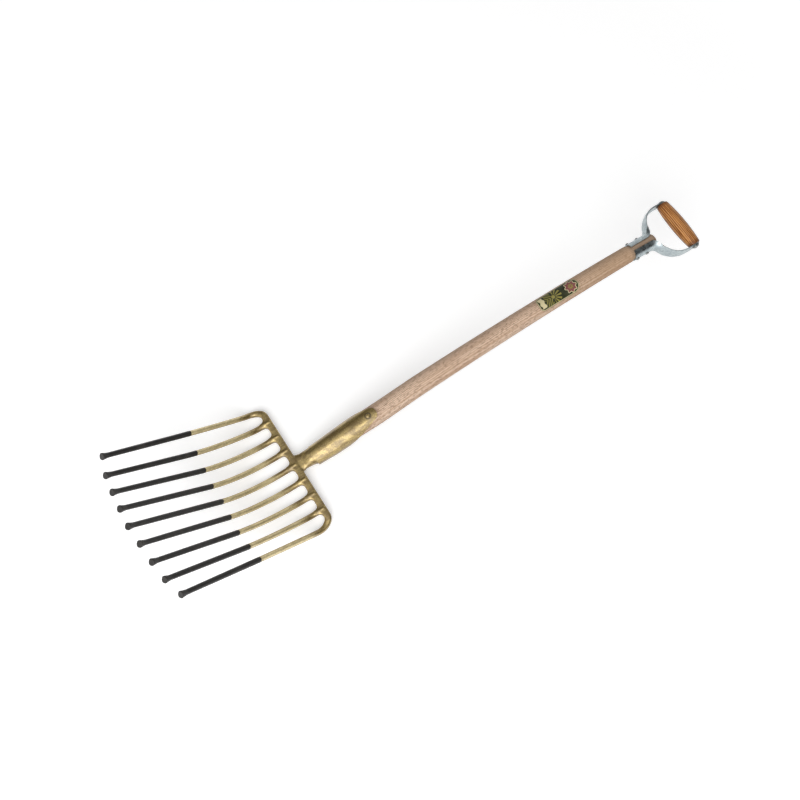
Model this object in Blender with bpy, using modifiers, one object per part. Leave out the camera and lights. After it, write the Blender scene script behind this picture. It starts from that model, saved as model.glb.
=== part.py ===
"""Ballast fork with nine tines, a forged socket, a bent ash shaft and a D grip.

Metres, +Z up. The fork lies on the floor with its hollow side up: +Y runs from the tines to
the grip and +X across. The origin is on the floor, under the middle of the whole fork.
"""
import bpy
import bmesh
import math
from mathutils import Vector

# Tines
TINE_COUNT = 9
TINE_PITCH = 0.032
TINE_WIDTH = 0.0108
TINE_HEIGHT = 0.0122
TINE_SECTION_POWER = 1.7
TINE_LENGTH = 0.357
TINE_ARC = 0.147
TINE_RISE = math.radians(53.8)
TINE_FAN_SCALE = 1.015
OUTER_TINE_SHORTER = 0.040
OUTER_SHORTER_POWER = 1.4
OUTER_ARC_LONGER = 0.039
OUTER_RISE_LESS = math.radians(10.2)
OUTER_ROOT_RISE = math.radians(39.0)
OUTER_ROOT_INSET = 0.0006
OUTER_INSET_LENGTH = 0.012
ROOT_LEAD = 0.001
ROOT_BEND_LENGTH = 0.016
TINE_TIP_SCALE = 0.80
BUTTON_SCALE = 1.12
BUTTON_LENGTH = 0.013
BUTTON_FLARE_POWER = 1.4
BUTTON_RIM = 0.0012

# Crossbar
BAR_WIDTH = 0.0135
BAR_HEIGHT = 0.013
BAR_EDGE = 0.003
BAR_CORNER_RADIUS = 0.0232
STUB_LENGTH = 0.0102
SLOT_CORNER_RADIUS = 0.0072
RIDGE_HEIGHT = 0.0013
RIDGE_WIDTH = 0.0098
RIDGE_SHOULDER_WIDTH = 0.0067
RIDGE_END_WIDTH = 0.0058
RIDGE_DEPTH = 0.0045
RIDGE_FRONT_SHARE = 0.55
RIDGE_SHOULDER_SHARE = 1.5
RIDGE_END_SHARE = 0.6

# Socket: neck, wings and front tongue
HELVE_RISE = math.radians(2.9)
SOCKET_WALL = 0.0022
NECK_ROOT_WIDTH = 0.036
NECK_WAIST_WIDTH = 0.031
NECK_WAIST_STATION = 0.016
NECK_HEIGHT_SHARES = (0.42, 0.46, 0.58)
NECK_FLANK_SHARE = 0.80
NECK_POWERS = (3.0, 2.6, 2.4, 2.1)
WING_START = 0.0375
NECK_END = 0.0445
WING_END = 0.1155
WING_BACK_END = 0.105
WING_SKEW = 0.010
WING_BULGE = 0.0038
WING_BULGE_START = math.radians(30.0)
WING_BULGE_FULL = math.radians(80.0)
WING_BULGE_BACK = math.radians(115.0)
WING_BULGE_FADE = 0.070
TONGUE_END = 0.1765
TONGUE_HALF_ANGLE = math.radians(35.0)
TONGUE_TIP_ROUND = 0.012
SEAM_HALF_ANGLE = math.radians(4.0)
SOCKET_RIVET_STATION = 0.159
SOCKET_RIVET_RADIUS = 0.0026
SOCKET_RIVET_HEAD_RADIUS = 0.0043

# Shaft, by stations along its axis from the crossbar
HELVE_LENGTH = 0.8875
BEND_LENGTH = 0.50
BEND_END_TO_GRIP = 0.0875
BEND_ANGLE = math.radians(9.2)
HELVE_SWAY = 0.0020
SWAY_RISE_LENGTH = 0.045
SWAY_RISE_END = 0.035
SWAY_FALL_START = 0.170
SWAY_FALL_END = 0.280
SHAFT_FOOT_RADIUS = 0.0152
SHAFT_MOUTH_RADIUS = 0.0188
SHAFT_MOUTH_STATION = 0.1155
SHAFT_FULL_RADIUS = 0.0199
SHAFT_FULL_STATION = 0.165
SHAFT_TOP_RADIUS = 0.0168
SPIGOT_RADIUS = 0.0150
SHOULDER_TO_GRIP = 0.131
SHOULDER_LENGTH = 0.0075
SPIGOT_DOME_TO_GRIP = 0.074
SPIGOT_END_TO_GRIP = 0.062
SHAFT_SIDES = 28

# Yoke arms of the D grip
YOKE_WALL = 0.0022
YOKE_FOOT_TO_GRIP = 0.1235
YOKE_CROTCH_TO_GRIP = 0.083
YOKE_WRAP = math.radians(74.0)
CROTCH_HANDLE = 0.019
BOW_HANDLE_OUT = 0.061
BOW_HANDLE_TO_GRIP = 0.066
BOW_HALF_DEPTH = 0.0140
BOW_CROWN = 0.0026
BOW_BLEND_END = 0.45
EYE_HALF_DEPTH = 0.0085
EYE_CROWN = 0.0002
EYE_SHOULDER_TO_GRIP = 0.008
EYE_HOLE_REACH = 0.010
YOKE_RIVET_RADIUS = 0.0025
YOKE_RIVET_HEAD_RADIUS = 0.0036
YOKE_RIVETS_TO_GRIP = (0.1175, 0.0940)

# Hand grip and its rod
GRIP_HALF_LENGTH = 0.0525
GRIP_MIDDLE_RADIUS = 0.0153
GRIP_END_RADIUS = 0.0122
GRIP_END_ROUND = 0.0030
GRIP_CHAMFER_SHARE = 0.3
ROD_RADIUS = 0.0040
ROD_HEAD_RADIUS = 0.0055
WASHER_RADIUS = 0.0070
WASHER_THICKNESS = 0.0012
RIVET_HEAD_HEIGHT = 0.0022

# Label
LABEL_START = 0.5395
LABEL_LENGTH = 0.092
LABEL_WIDTH = 0.031
LABEL_THICKNESS = 0.00025

# Clearances
SEAT_GAP = 0.0003
SOCKET_CLEARANCE = 0.0004
YOKE_CLEARANCE = 0.0004
HOLE_CLEARANCE = 0.0003

TURN = 2.0 * math.pi
ROUND_STEPS = 24
SHARP_ANGLE = math.radians(35.0)
REST_TILT_LIMIT = math.radians(20.0)
REST_TILT_STEPS = 30
WELD = 0.00001

YOKE_INNER_RADIUS = SPIGOT_RADIUS + YOKE_CLEARANCE
YOKE_MID_RADIUS = YOKE_INNER_RADIUS + YOKE_WALL / 2.0
YOKE_OUTER_RADIUS = YOKE_INNER_RADIUS + YOKE_WALL
EYE_MID = GRIP_HALF_LENGTH + SEAT_GAP + EYE_CROWN + YOKE_WALL / 2.0
EYE_OUTER = EYE_MID + YOKE_WALL / 2.0
STUB_END = BAR_WIDTH / 2.0 + STUB_LENGTH
BEND_START = HELVE_LENGTH - BEND_END_TO_GRIP - BEND_LENGTH


# Scene, collections and materials

def clear_scene():
    for item in list(bpy.data.objects):
        bpy.data.objects.remove(item, do_unlink=True)


def new_collection(name):
    collection = bpy.data.collections.new(name)
    bpy.context.scene.collection.children.link(collection)
    return collection


def new_material(name, colour, roughness, metallic):
    material = bpy.data.materials.new(name)
    material.use_nodes = True
    shader = material.node_tree.nodes["Principled BSDF"]
    shader.inputs["Base Color"].default_value = (*colour, 1.0)
    shader.inputs["Roughness"].default_value = roughness
    shader.inputs["Metallic"].default_value = metallic
    material.diffuse_color = (*colour, 1.0)
    return material


def add_object(name, data, material=None, parent=None, guide=False):
    item = bpy.data.objects.new(name, data)
    (GUIDES if guide else PARTS).objects.link(item)
    if guide:
        item.hide_render = True
        item.display_type = "WIRE"
    if material is not None:
        data.materials.append(material)
    if parent is not None:
        item.parent = parent
    return item


def add_empty(name, parent=None, location=(0.0, 0.0, 0.0), tilt=0.0):
    empty = add_object(name, None, parent=parent)
    empty.location = location
    empty.rotation_euler = (tilt, 0.0, 0.0)
    return empty


# Tools for shapes

def shade(mesh):
    mesh.shade_smooth()
    mesh.set_sharp_from_angle(angle=SHARP_ANGLE)


def tube(name, points, radii, material, parent, resolution=4, section=None):
    """A round or profiled bar through the points, with its own radius at each."""
    curve = bpy.data.curves.new(name, "CURVE")
    curve.dimensions = "3D"
    curve.twist_mode = "Z_UP"
    curve.use_fill_caps = True
    if section is None:
        curve.bevel_depth = 1.0
        curve.bevel_resolution = resolution
    else:
        curve.bevel_mode = "OBJECT"
        curve.bevel_object = section
    spline = curve.splines.new("POLY")
    spline.points.add(len(points) - 1)
    for control, place, radius in zip(spline.points, points, radii):
        control.co = (*place, 1.0)
        control.radius = radius
    return add_object(name, curve, material, parent)


def as_mesh(item):
    """Turns a curve object into a closed mesh object that can be cut."""
    bpy.context.view_layer.update()
    evaluated = item.evaluated_get(bpy.context.evaluated_depsgraph_get())
    mesh = bpy.data.meshes.new_from_object(evaluated)
    shape = bmesh.new()
    shape.from_mesh(mesh)
    bmesh.ops.remove_doubles(shape, verts=shape.verts, dist=WELD)
    bmesh.ops.recalc_face_normals(shape, faces=shape.faces)
    shape.to_mesh(mesh)
    shape.free()
    name = item.name
    parent = item.parent
    place = item.matrix_world.copy()
    bpy.data.objects.remove(item, do_unlink=True)
    made = add_object(name, mesh, parent=parent)
    made.matrix_world = place
    return made


def turned(name, profile, material, parent, closed=False, steps=ROUND_STEPS):
    """Turns a profile of (radius, height) points, which runs down its outer side, about Z."""
    mesh = bpy.data.meshes.new(name)
    edges = [(k, k + 1) for k in range(len(profile) - 1)]
    if closed:
        edges.append((len(profile) - 1, 0))
    mesh.from_pydata([(radius, 0.0, height) for radius, height in profile], edges, [])
    item = add_object(name, mesh, material, parent)
    screw = item.modifiers.new("turn", "SCREW")
    screw.axis = "Z"
    screw.angle = TURN
    screw.steps = steps
    screw.render_steps = steps
    screw.use_merge_vertices = True
    screw.merge_threshold = WELD
    screw.use_smooth_shade = True
    return item


def grid_surface(name, rows, material, parent, flip=False, guide=False):
    """An open surface through rows of points, all rows as long as the first."""
    across = len(rows[0])
    faces = []
    for r in range(len(rows) - 1):
        for c in range(across - 1):
            face = (r * across + c, r * across + c + 1, (r + 1) * across + c + 1, (r + 1) * across + c)
            faces.append(face[::-1] if flip else face)
    mesh = bpy.data.meshes.new(name)
    mesh.from_pydata([point for row in rows for point in row], [], faces)
    shade(mesh)
    return add_object(name, mesh, material, parent, guide)


def solidify(item, thickness, offset):
    shell = item.modifiers.new("wall", "SOLIDIFY")
    shell.thickness = thickness
    shell.offset = offset
    shell.use_even_offset = True


def loft(name, sections, parent):
    """A closed solid through rings of equal count, with a flat cap at each end."""
    ring = len(sections[0])
    faces = []
    for s in range(len(sections) - 1):
        for k in range(ring):
            n = (k + 1) % ring
            faces.append((s * ring + k, (s + 1) * ring + k, (s + 1) * ring + n, s * ring + n))
    last = (len(sections) - 1) * ring
    faces.append(tuple(range(ring)))
    faces.append(tuple(last + k for k in reversed(range(ring))))
    mesh = bpy.data.meshes.new(name)
    mesh.from_pydata([point for section in sections for point in section], [], faces)
    shape = bmesh.new()
    shape.from_mesh(mesh)
    bmesh.ops.recalc_face_normals(shape, faces=shape.faces)
    shape.to_mesh(mesh)
    shape.free()
    shade(mesh)
    return add_object(name, mesh, parent=parent, guide=True)


def rod_cutter(name, radius, start, end, parent):
    """A cylinder between two points, for cutting a hole."""
    run = Vector(end) - Vector(start)
    mesh = bpy.data.meshes.new(name)
    shape = bmesh.new()
    bmesh.ops.create_cone(shape, cap_ends=True, segments=ROUND_STEPS, radius1=radius,
                          radius2=radius, depth=run.length)
    shape.to_mesh(mesh)
    shape.free()
    cutter = add_object(name, mesh, parent=parent, guide=True)
    cutter.rotation_euler = run.to_track_quat("Z", "Y").to_euler()
    cutter.location = (Vector(start) + Vector(end)) / 2.0
    return cutter


def boolean(item, other, operation):
    step = item.modifiers.new(other.name, "BOOLEAN")
    step.operation = operation
    step.object = other
    step.solver = "EXACT"


def signed_power(value, power):
    return math.copysign(abs(value) ** power, value)


def even_step(low, high, value):
    """0 below low, 1 above high and an even S between them."""
    share = min(1.0, max(0.0, (value - low) / (high - low)))
    return share * share * (3.0 - 2.0 * share)


def superellipse(half_width, half_height, power, count):
    """Points around a rounded section; power 2 is an ellipse, more is squarer, less is ridged."""
    points = []
    for k in range(count):
        angle = TURN * (k + 0.5) / count
        points.append((half_width * signed_power(math.cos(angle), 2.0 / power),
                       half_height * signed_power(math.sin(angle), 2.0 / power)))
    return points


# Head

def tine_offset(index):
    """The place of a tine across the head, from -1 at the first to 1 at the last."""
    middle = (TINE_COUNT - 1) / 2.0
    return (index - middle) / middle


def tine_x(index):
    return TINE_PITCH * (index - (TINE_COUNT - 1) / 2.0)


def root_x(index):
    """The place of a tine's root across the bar: the outer tines start a little further in."""
    outward = tine_offset(index)
    inset = OUTER_ROOT_INSET if abs(outward) == 1.0 else 0.0
    return tine_x(index) - math.copysign(inset, outward)


def make_crossbar(parent):
    """The bar with a stub for each tine, rounded slots between them and ridges on top."""
    back = BAR_WIDTH / 2.0
    slot_y = -BAR_WIDTH / 2.0 - SLOT_CORNER_RADIUS
    half_tine = TINE_WIDTH / 2.0
    side = root_x(TINE_COUNT - 1) + half_tine
    outline = []

    def arc(cx, cy, radius, start, end, steps=6):
        for k in range(steps + 1):
            angle = math.radians(start + (end - start) * k / steps)
            outline.append((cx + radius * math.cos(angle), cy + radius * math.sin(angle)))

    outline.append((side, -STUB_END))
    arc(side - BAR_CORNER_RADIUS, back - BAR_CORNER_RADIUS, BAR_CORNER_RADIUS, 0, 90, 8)
    arc(BAR_CORNER_RADIUS - side, back - BAR_CORNER_RADIUS, BAR_CORNER_RADIUS, 90, 180, 8)
    outline.append((-side, -STUB_END))
    for index in range(TINE_COUNT - 1):
        left = root_x(index) + half_tine
        right = root_x(index + 1) - half_tine
        outline.append((left, -STUB_END))
        arc(left + SLOT_CORNER_RADIUS, slot_y, SLOT_CORNER_RADIUS, 180, 90)
        arc(right - SLOT_CORNER_RADIUS, slot_y, SLOT_CORNER_RADIUS, 90, 0)
        outline.append((right, -STUB_END))
    curve = bpy.data.curves.new("crossbar", "CURVE")
    curve.dimensions = "2D"
    curve.fill_mode = "BOTH"
    curve.extrude = BAR_HEIGHT / 2.0
    spline = curve.splines.new("POLY")
    spline.points.add(len(outline) - 1)
    for control, (x, y) in zip(spline.points, outline):
        control.co = (x, y, 0.0, 1.0)
    spline.use_cyclic_u = True
    flat = add_object("crossbar", curve, parent=parent)
    flat.location = (0.0, 0.0, BAR_HEIGHT / 2.0)
    bar = as_mesh(flat)
    bar.data.materials.append(GOLD)
    mark_long_edges(bar.data)
    edge = bar.modifiers.new("edges", "BEVEL")
    edge.width = BAR_EDGE
    edge.segments = 2
    edge.limit_method = "WEIGHT"
    top = BAR_HEIGHT + RIDGE_HEIGHT - RIDGE_DEPTH
    shapes = ((WELD - STUB_END, RIDGE_WIDTH, top - RIDGE_HEIGHT),
              (-BAR_WIDTH * RIDGE_FRONT_SHARE, RIDGE_WIDTH, top),
              (back - BAR_EDGE * RIDGE_SHOULDER_SHARE, RIDGE_SHOULDER_WIDTH, top),
              (back - BAR_EDGE * RIDGE_END_SHARE, RIDGE_END_WIDTH, top - RIDGE_HEIGHT))
    for index in range(1, TINE_COUNT - 1):
        rings = []
        for y, width, middle in shapes:
            ring = superellipse(width / 2.0, RIDGE_DEPTH, 2.0, 12)
            rings.append([(tine_x(index) + x, y, middle + z) for x, z in ring])
        boolean(bar, loft("ridge_%d" % (index + 1), rings, parent), "UNION")
    return bar


def mark_long_edges(mesh):
    """Marks the top and bottom edges to be rounded, all but those of the stubs' end faces."""
    shape = bmesh.new()
    shape.from_mesh(mesh)
    for level in (-BAR_HEIGHT / 2.0, BAR_HEIGHT / 2.0):
        cap = [face for face in shape.faces
               if all(abs(vertex.co.z - level) < WELD for vertex in face.verts)]
        bmesh.ops.dissolve_faces(shape, faces=cap)
    weight = shape.edges.layers.float.new("bevel_weight_edge")
    for edge in shape.edges:
        low, high = edge.verts
        level = abs(low.co.z - high.co.z) < WELD
        end = max(low.co.y, high.co.y) < WELD - STUB_END
        if level and not end:
            edge[weight] = 1.0
    shape.to_mesh(mesh)
    shape.free()


def tine_points(index):
    """The tine's centre line from its stub, with the scale of its section at each point.

    The outer tines leave the bar more steeply and bend less, which dishes the head.
    """
    outward = tine_offset(index) ** 2
    root_rise = OUTER_ROOT_RISE * outward
    rise = TINE_RISE - OUTER_RISE_LESS * outward
    arc = TINE_ARC + OUTER_ARC_LONGER * outward
    length = TINE_LENGTH - OUTER_TINE_SHORTER * abs(tine_offset(index)) ** OUTER_SHORTER_POWER
    flare = length - BUTTON_LENGTH
    stations = [0.0, ROOT_LEAD, ROOT_BEND_LENGTH / 3.0, ROOT_BEND_LENGTH * 2.0 / 3.0]
    stations += [ROOT_BEND_LENGTH + (arc - ROOT_BEND_LENGTH) * k / 10.0 for k in range(11)]
    stations += [arc + (flare - arc) * k / 3.0 for k in range(1, 4)]
    widest = length - BUTTON_RIM
    stations += [flare + (widest - flare) * k / 3.0 for k in range(1, 4)] + [length]
    points = [(0.0, 0.0, 0.0)]
    scales = [1.0]
    for before, station in zip(stations, stations[1:]):
        _, y, z = points[-1]
        steps = 8
        part = (station - before) / steps
        for k in range(steps):
            there = max(0.0, before + part * (k + 0.5) - ROOT_LEAD)
            slope = root_rise * min(1.0, there / ROOT_BEND_LENGTH)
            slope += (rise - root_rise) * min(1.0, there / arc)
            y -= part * math.cos(slope)
            z += part * math.sin(slope)
        fan = tine_x(index) * (TINE_FAN_SCALE - 1.0) * station / length
        outset = (tine_x(index) - root_x(index)) * even_step(0.0, OUTER_INSET_LENGTH, station)
        points.append((fan + outset, y, z))
        taper = 1.0 + (TINE_TIP_SCALE - 1.0) * min(1.0, station / flare)
        open_share = min(1.0, max(0.0, station - flare) / (widest - flare))
        scales.append(taper + (BUTTON_SCALE - taper) * open_share ** BUTTON_FLARE_POWER)
    scales[-1] = BUTTON_SCALE - 2.0 * BUTTON_RIM / TINE_WIDTH
    return points, scales


def make_tines(parent):
    section_curve = bpy.data.curves.new("tine_section", "CURVE")
    section_curve.dimensions = "2D"
    outline = superellipse(TINE_WIDTH / 2.0, TINE_HEIGHT / 2.0, TINE_SECTION_POWER, 12)
    spline = section_curve.splines.new("POLY")
    spline.points.add(len(outline) - 1)
    for control, (x, y) in zip(spline.points, reversed(outline)):
        control.co = (x, y, 0.0, 1.0)
    spline.use_cyclic_u = True
    section = add_object("tine_section", section_curve, parent=parent, guide=True)
    for index in range(TINE_COUNT):
        points, scales = tine_points(index)
        tine = tube("tine_%d" % (index + 1), points, scales, BLACK, parent, section=section)
        tine.location = (root_x(index), -STUB_END - SEAT_GAP, BAR_HEIGHT / 2.0)


# Shaft and its bent axis

def axis_place(station):
    """A point on the shaft's bent axis and its slope, in the socket's frame."""
    radius = BEND_LENGTH / BEND_ANGLE
    bent = min(max(station - BEND_START, 0.0), BEND_LENGTH)
    straight = max(0.0, station - BEND_START - BEND_LENGTH)
    turn = bent / radius
    y = min(station, BEND_START) + radius * math.sin(turn) + straight * math.cos(turn)
    z = -radius * (1.0 - math.cos(turn)) - straight * math.sin(turn)
    return y, z, -turn


def axis_sway(station):
    """How far the foot of the helve lies to the right of the middle of the head."""
    rise = even_step(SWAY_RISE_END - SWAY_RISE_LENGTH, SWAY_RISE_END, station)
    return HELVE_SWAY * rise * (1.0 - even_step(SWAY_FALL_START, SWAY_FALL_END, station))


def shaft_radius(station):
    """The shaft's radius: tapered in the socket, full above it and slimmer at the grip."""
    top = HELVE_LENGTH - SHOULDER_TO_GRIP
    marks = ((NECK_END, SHAFT_FOOT_RADIUS), (SHAFT_MOUTH_STATION, SHAFT_MOUTH_RADIUS),
             (SHAFT_FULL_STATION, SHAFT_FULL_RADIUS), (top, SHAFT_TOP_RADIUS))
    if station <= marks[0][0]:
        return marks[0][1]
    for (low, small), (high, large) in zip(marks, marks[1:]):
        if station <= high:
            return small + (large - small) * (station - low) / (high - low)
    return SHAFT_TOP_RADIUS


def make_shaft(helve, yoke):
    foot = NECK_END + SOCKET_CLEARANCE
    top = HELVE_LENGTH - SHOULDER_TO_GRIP
    stations = [foot, (foot + SHAFT_MOUTH_STATION) / 2.0, SHAFT_MOUTH_STATION,
                (SHAFT_MOUTH_STATION + SHAFT_FULL_STATION) / 2.0, SHAFT_FULL_STATION,
                BEND_START]
    stations += [BEND_START + (top - BEND_START) * k / 10.0 for k in range(1, 11)]
    radii = [shaft_radius(station) for station in stations]
    dome = HELVE_LENGTH - SPIGOT_DOME_TO_GRIP
    stations += [top + SHOULDER_LENGTH, (top + dome) / 2.0, dome]
    radii += [SPIGOT_RADIUS] * 3
    dome_length = SPIGOT_DOME_TO_GRIP - SPIGOT_END_TO_GRIP
    for angle in (25.0, 45.0, 62.0, 76.0):
        stations.append(dome + dome_length * math.sin(math.radians(angle)))
        radii.append(SPIGOT_RADIUS * math.cos(math.radians(angle)))
    points = []
    for station in stations:
        y, z, _ = axis_place(station)
        points.append((axis_sway(station), y, z))
    curve = tube("shaft", points, radii, None, helve, resolution=SHAFT_SIDES // 2 - 2)
    shaft = as_mesh(curve)
    shade(shaft.data)
    shaft.data.materials.append(ASH)
    reach = 2.0 * SHAFT_FULL_RADIUS
    hole = SOCKET_RIVET_RADIUS + HOLE_CLEARANCE
    x = axis_sway(SOCKET_RIVET_STATION)
    y, z, _ = axis_place(SOCKET_RIVET_STATION)
    cutter = rod_cutter("socket_rivet_hole", hole, (x, y, z - reach), (x, y, z + reach), helve)
    boolean(shaft, cutter, "DIFFERENCE")
    for cutter in yoke_rivet_cutters(yoke, "shaft"):
        boolean(shaft, cutter, "DIFFERENCE")
    return shaft


# Socket

def socket_rim(angle):
    """The station where the socket's wall ends, by the angle from the front."""
    away = abs(angle)
    side_end = WING_END - WING_SKEW if angle > 0.0 else WING_END
    tongue_side = TONGUE_END - TONGUE_TIP_ROUND
    if away <= TONGUE_HALF_ANGLE:
        share = away / TONGUE_HALF_ANGLE
        return tongue_side + TONGUE_TIP_ROUND * math.sqrt(max(0.0, 1.0 - share * share))
    quarter = TURN / 4.0
    if away <= quarter:
        share = (away - TONGUE_HALF_ANGLE) / (quarter - TONGUE_HALF_ANGLE)
        return tongue_side + (side_end - tongue_side) * share
    return side_end + (WING_BACK_END - side_end) * (away - quarter) / quarter


def wing_lift(station, angle):
    """How far the right wing stands off the shaft: most at its side and near its front end."""
    last = TURN / 2.0 - SEAM_HALF_ANGLE
    side = even_step(WING_BULGE_START, WING_BULGE_FULL, angle)
    side *= 1.0 - even_step(WING_BULGE_BACK, last, angle)
    return WING_BULGE * side * (1.0 - even_step(WING_BULGE_FADE, WING_END, station) / 2.0)


def make_socket(helve):
    """The neck, blended into the wings that wrap the shaft and the tongue on its front."""
    tongue_columns = 6
    wing_columns = 15
    half = [TONGUE_HALF_ANGLE * math.sin(TURN / 4.0 * k / tongue_columns)
            for k in range(tongue_columns + 1)]
    last = TURN / 2.0 - SEAM_HALF_ANGLE
    half += [TONGUE_HALF_ANGLE + (last - TONGUE_HALF_ANGLE) * k / wing_columns
             for k in range(1, wing_columns + 1)]
    angles = [-angle for angle in reversed(half[1:])] + half
    row_count = 12
    rows = []
    for r in range(row_count + 1):
        row = []
        for angle in angles:
            station = WING_START + (socket_rim(angle) - WING_START) * r / row_count
            radius = shaft_radius(station) + SOCKET_CLEARANCE + wing_lift(station, angle)
            x = axis_sway(station) + radius * math.sin(angle)
            row.append((x, station, radius * math.cos(angle)))
        rows.append(row)
    socket = grid_surface("socket", rows, GOLD, helve)
    solidify(socket, SOCKET_WALL, 1.0)

    root = BAR_WIDTH / 2.0 + SEAT_GAP + BAR_HEIGHT / 2.0 * math.tan(HELVE_RISE)
    end_radius = SHAFT_FOOT_RADIUS + SOCKET_CLEARANCE + SOCKET_WALL / 2.0
    waist = NECK_WAIST_STATION
    middle = (waist + WING_START) / 2.0
    flank = (NECK_WAIST_WIDTH / 2.0 + end_radius) / 2.0
    root_side = NECK_ROOT_WIDTH / 2.0
    waist_side = NECK_WAIST_WIDTH / 2.0
    heights = [BAR_HEIGHT * share for share in NECK_HEIGHT_SHARES]
    shapes = (
        (root, root_side, heights[0], NECK_POWERS[0]),
        ((root + waist) / 2.0, (root_side + waist_side) / 2.0, heights[1], NECK_POWERS[1]),
        (waist, waist_side, heights[2], NECK_POWERS[2]),
        (middle, flank, end_radius * NECK_FLANK_SHARE, NECK_POWERS[3]),
        (WING_START - SOCKET_WALL / 2.0, end_radius, end_radius, 2.0),
        (NECK_END, end_radius, end_radius, 2.0),
    )
    rings = []
    for station, half_width, half_height, power in shapes:
        ring = superellipse(half_width, half_height, power, ROUND_STEPS)
        sway = axis_sway(station)
        lift = wing_lift(station, TURN / 4.0) * even_step(middle, NECK_END, station)
        rings.append([(x + sway + lift * max(0.0, x) / half_width, station, z) for x, z in ring])
    neck = loft("neck", rings, helve)
    boolean(socket, neck, "UNION")
    hole = SOCKET_RIVET_RADIUS + HOLE_CLEARANCE
    x = axis_sway(SOCKET_RIVET_STATION)
    y, z, _ = axis_place(SOCKET_RIVET_STATION)
    cutter = rod_cutter("tongue_hole", hole, (x, y, z), (x, y, z + 2.0 * SHAFT_FULL_RADIUS), helve)
    boolean(socket, cutter, "DIFFERENCE")
    return socket


def rivet_profile(shank, head, low, high):
    """Half the outline of a rivet with a domed head beyond each of two heights."""
    dome = [(head * math.cos(math.radians(a)), math.sin(math.radians(a))) for a in (0, 30, 60)]
    upper = [(0.0, high + RIVET_HEAD_HEIGHT)]
    upper += [(radius, high + RIVET_HEAD_HEIGHT * share) for radius, share in reversed(dome)]
    lower = [(radius, low - RIVET_HEAD_HEIGHT * share) for radius, share in dome]
    lower += [(0.0, low - RIVET_HEAD_HEIGHT)]
    return upper + [(shank, high), (shank, low)] + lower


def make_socket_rivet(helve):
    y, z, _ = axis_place(SOCKET_RIVET_STATION)
    wood = shaft_radius(SOCKET_RIVET_STATION)
    front = wood + SOCKET_CLEARANCE + SOCKET_WALL + SEAT_GAP
    back = -wood - SEAT_GAP
    profile = rivet_profile(SOCKET_RIVET_RADIUS, SOCKET_RIVET_HEAD_RADIUS, back, front)
    rivet = turned("socket_rivet", profile, STEEL, helve, steps=20)
    rivet.location = (axis_sway(SOCKET_RIVET_STATION), y, z)


# D grip

def yoke_path(t):
    """The bow of a yoke arm from the crotch (t = 0) to the eye's shoulder (t = 1)."""
    nodes = ((YOKE_MID_RADIUS, -YOKE_CROTCH_TO_GRIP),
             (YOKE_MID_RADIUS, -YOKE_CROTCH_TO_GRIP + CROTCH_HANDLE),
             (BOW_HANDLE_OUT, -BOW_HANDLE_TO_GRIP),
             (EYE_MID, -EYE_SHOULDER_TO_GRIP))
    weights = ((1 - t) ** 3, 3 * t * (1 - t) ** 2, 3 * t * t * (1 - t), t ** 3)
    slopes = (-3 * (1 - t) ** 2, 3 * (1 - t) * (1 - 3 * t), 3 * t * (2 - 3 * t), 3 * t * t)
    place = Vector((0.0, 0.0))
    slope = Vector((0.0, 0.0))
    for node, weight, rate in zip(nodes, weights, slopes):
        place += weight * Vector(node)
        slope += rate * Vector(node)
    return place, slope.normalized()


def yoke_row(place, heading, half_depth, crown, side, columns=12):
    """Points across the arm: an arc of the given depth and crown, hollow towards the inside."""
    inward = Vector((-heading.y, heading.x))
    half_angle = 2.0 * math.atan2(crown, half_depth)
    radius = half_depth / math.sin(half_angle)
    row = []
    for k in range(columns + 1):
        angle = half_angle * (2.0 * k / columns - 1.0)
        point = place + inward * (radius * (1.0 - math.cos(angle)))
        row.append((side * point.x, point.y, radius * math.sin(angle)))
    return row


def make_yoke_arm(name, side, yoke):
    shell_depth = YOKE_MID_RADIUS * math.sin(YOKE_WRAP)
    shell_crown = YOKE_MID_RADIUS * (1.0 - math.cos(YOKE_WRAP))
    ahead = Vector((0.0, 1.0))
    rows = []
    for k in range(4):
        share = k / 4.0
        y = -YOKE_FOOT_TO_GRIP + (YOKE_FOOT_TO_GRIP - YOKE_CROTCH_TO_GRIP) * share
        rows.append(yoke_row(Vector((YOKE_MID_RADIUS, y)), ahead, shell_depth, shell_crown, side))
    steps = 18
    for k in range(steps + 1):
        t = k / steps
        place, heading = yoke_path(t)
        if t < BOW_BLEND_END:
            u = t / BOW_BLEND_END
            share = u * u * (3.0 - 2.0 * u)
            depth = shell_depth + (BOW_HALF_DEPTH - shell_depth) * share
            crown = shell_crown + (BOW_CROWN - shell_crown) * share
        else:
            share = (t - BOW_BLEND_END) / (1.0 - BOW_BLEND_END)
            depth = BOW_HALF_DEPTH + (EYE_HALF_DEPTH - BOW_HALF_DEPTH) * share
            crown = BOW_CROWN + (EYE_CROWN - BOW_CROWN) * share
        rows.append(yoke_row(place, heading, depth, crown, side))
    for angle in (0.0, 25.0, 45.0, 62.0, 76.0):
        turn = math.radians(angle)
        place = Vector((EYE_MID, EYE_HALF_DEPTH * math.sin(turn)))
        depth = EYE_HALF_DEPTH * math.cos(turn)
        rows.append(yoke_row(place, ahead, depth, EYE_CROWN * math.cos(turn), side))
    arm = grid_surface(name, rows, ZINC, yoke, flip=side < 0)
    solidify(arm, YOKE_WALL, 0.0)
    for cutter in yoke_rivet_cutters(yoke, name):
        boolean(arm, cutter, "DIFFERENCE")
    hole = ROD_RADIUS + HOLE_CLEARANCE
    inner = side * (EYE_MID - EYE_HOLE_REACH)
    outer = side * (EYE_MID + EYE_HOLE_REACH)
    cutter = rod_cutter(name + "_eye_hole", hole, (inner, 0.0, 0.0), (outer, 0.0, 0.0), yoke)
    boolean(arm, cutter, "DIFFERENCE")
    return arm


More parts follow.
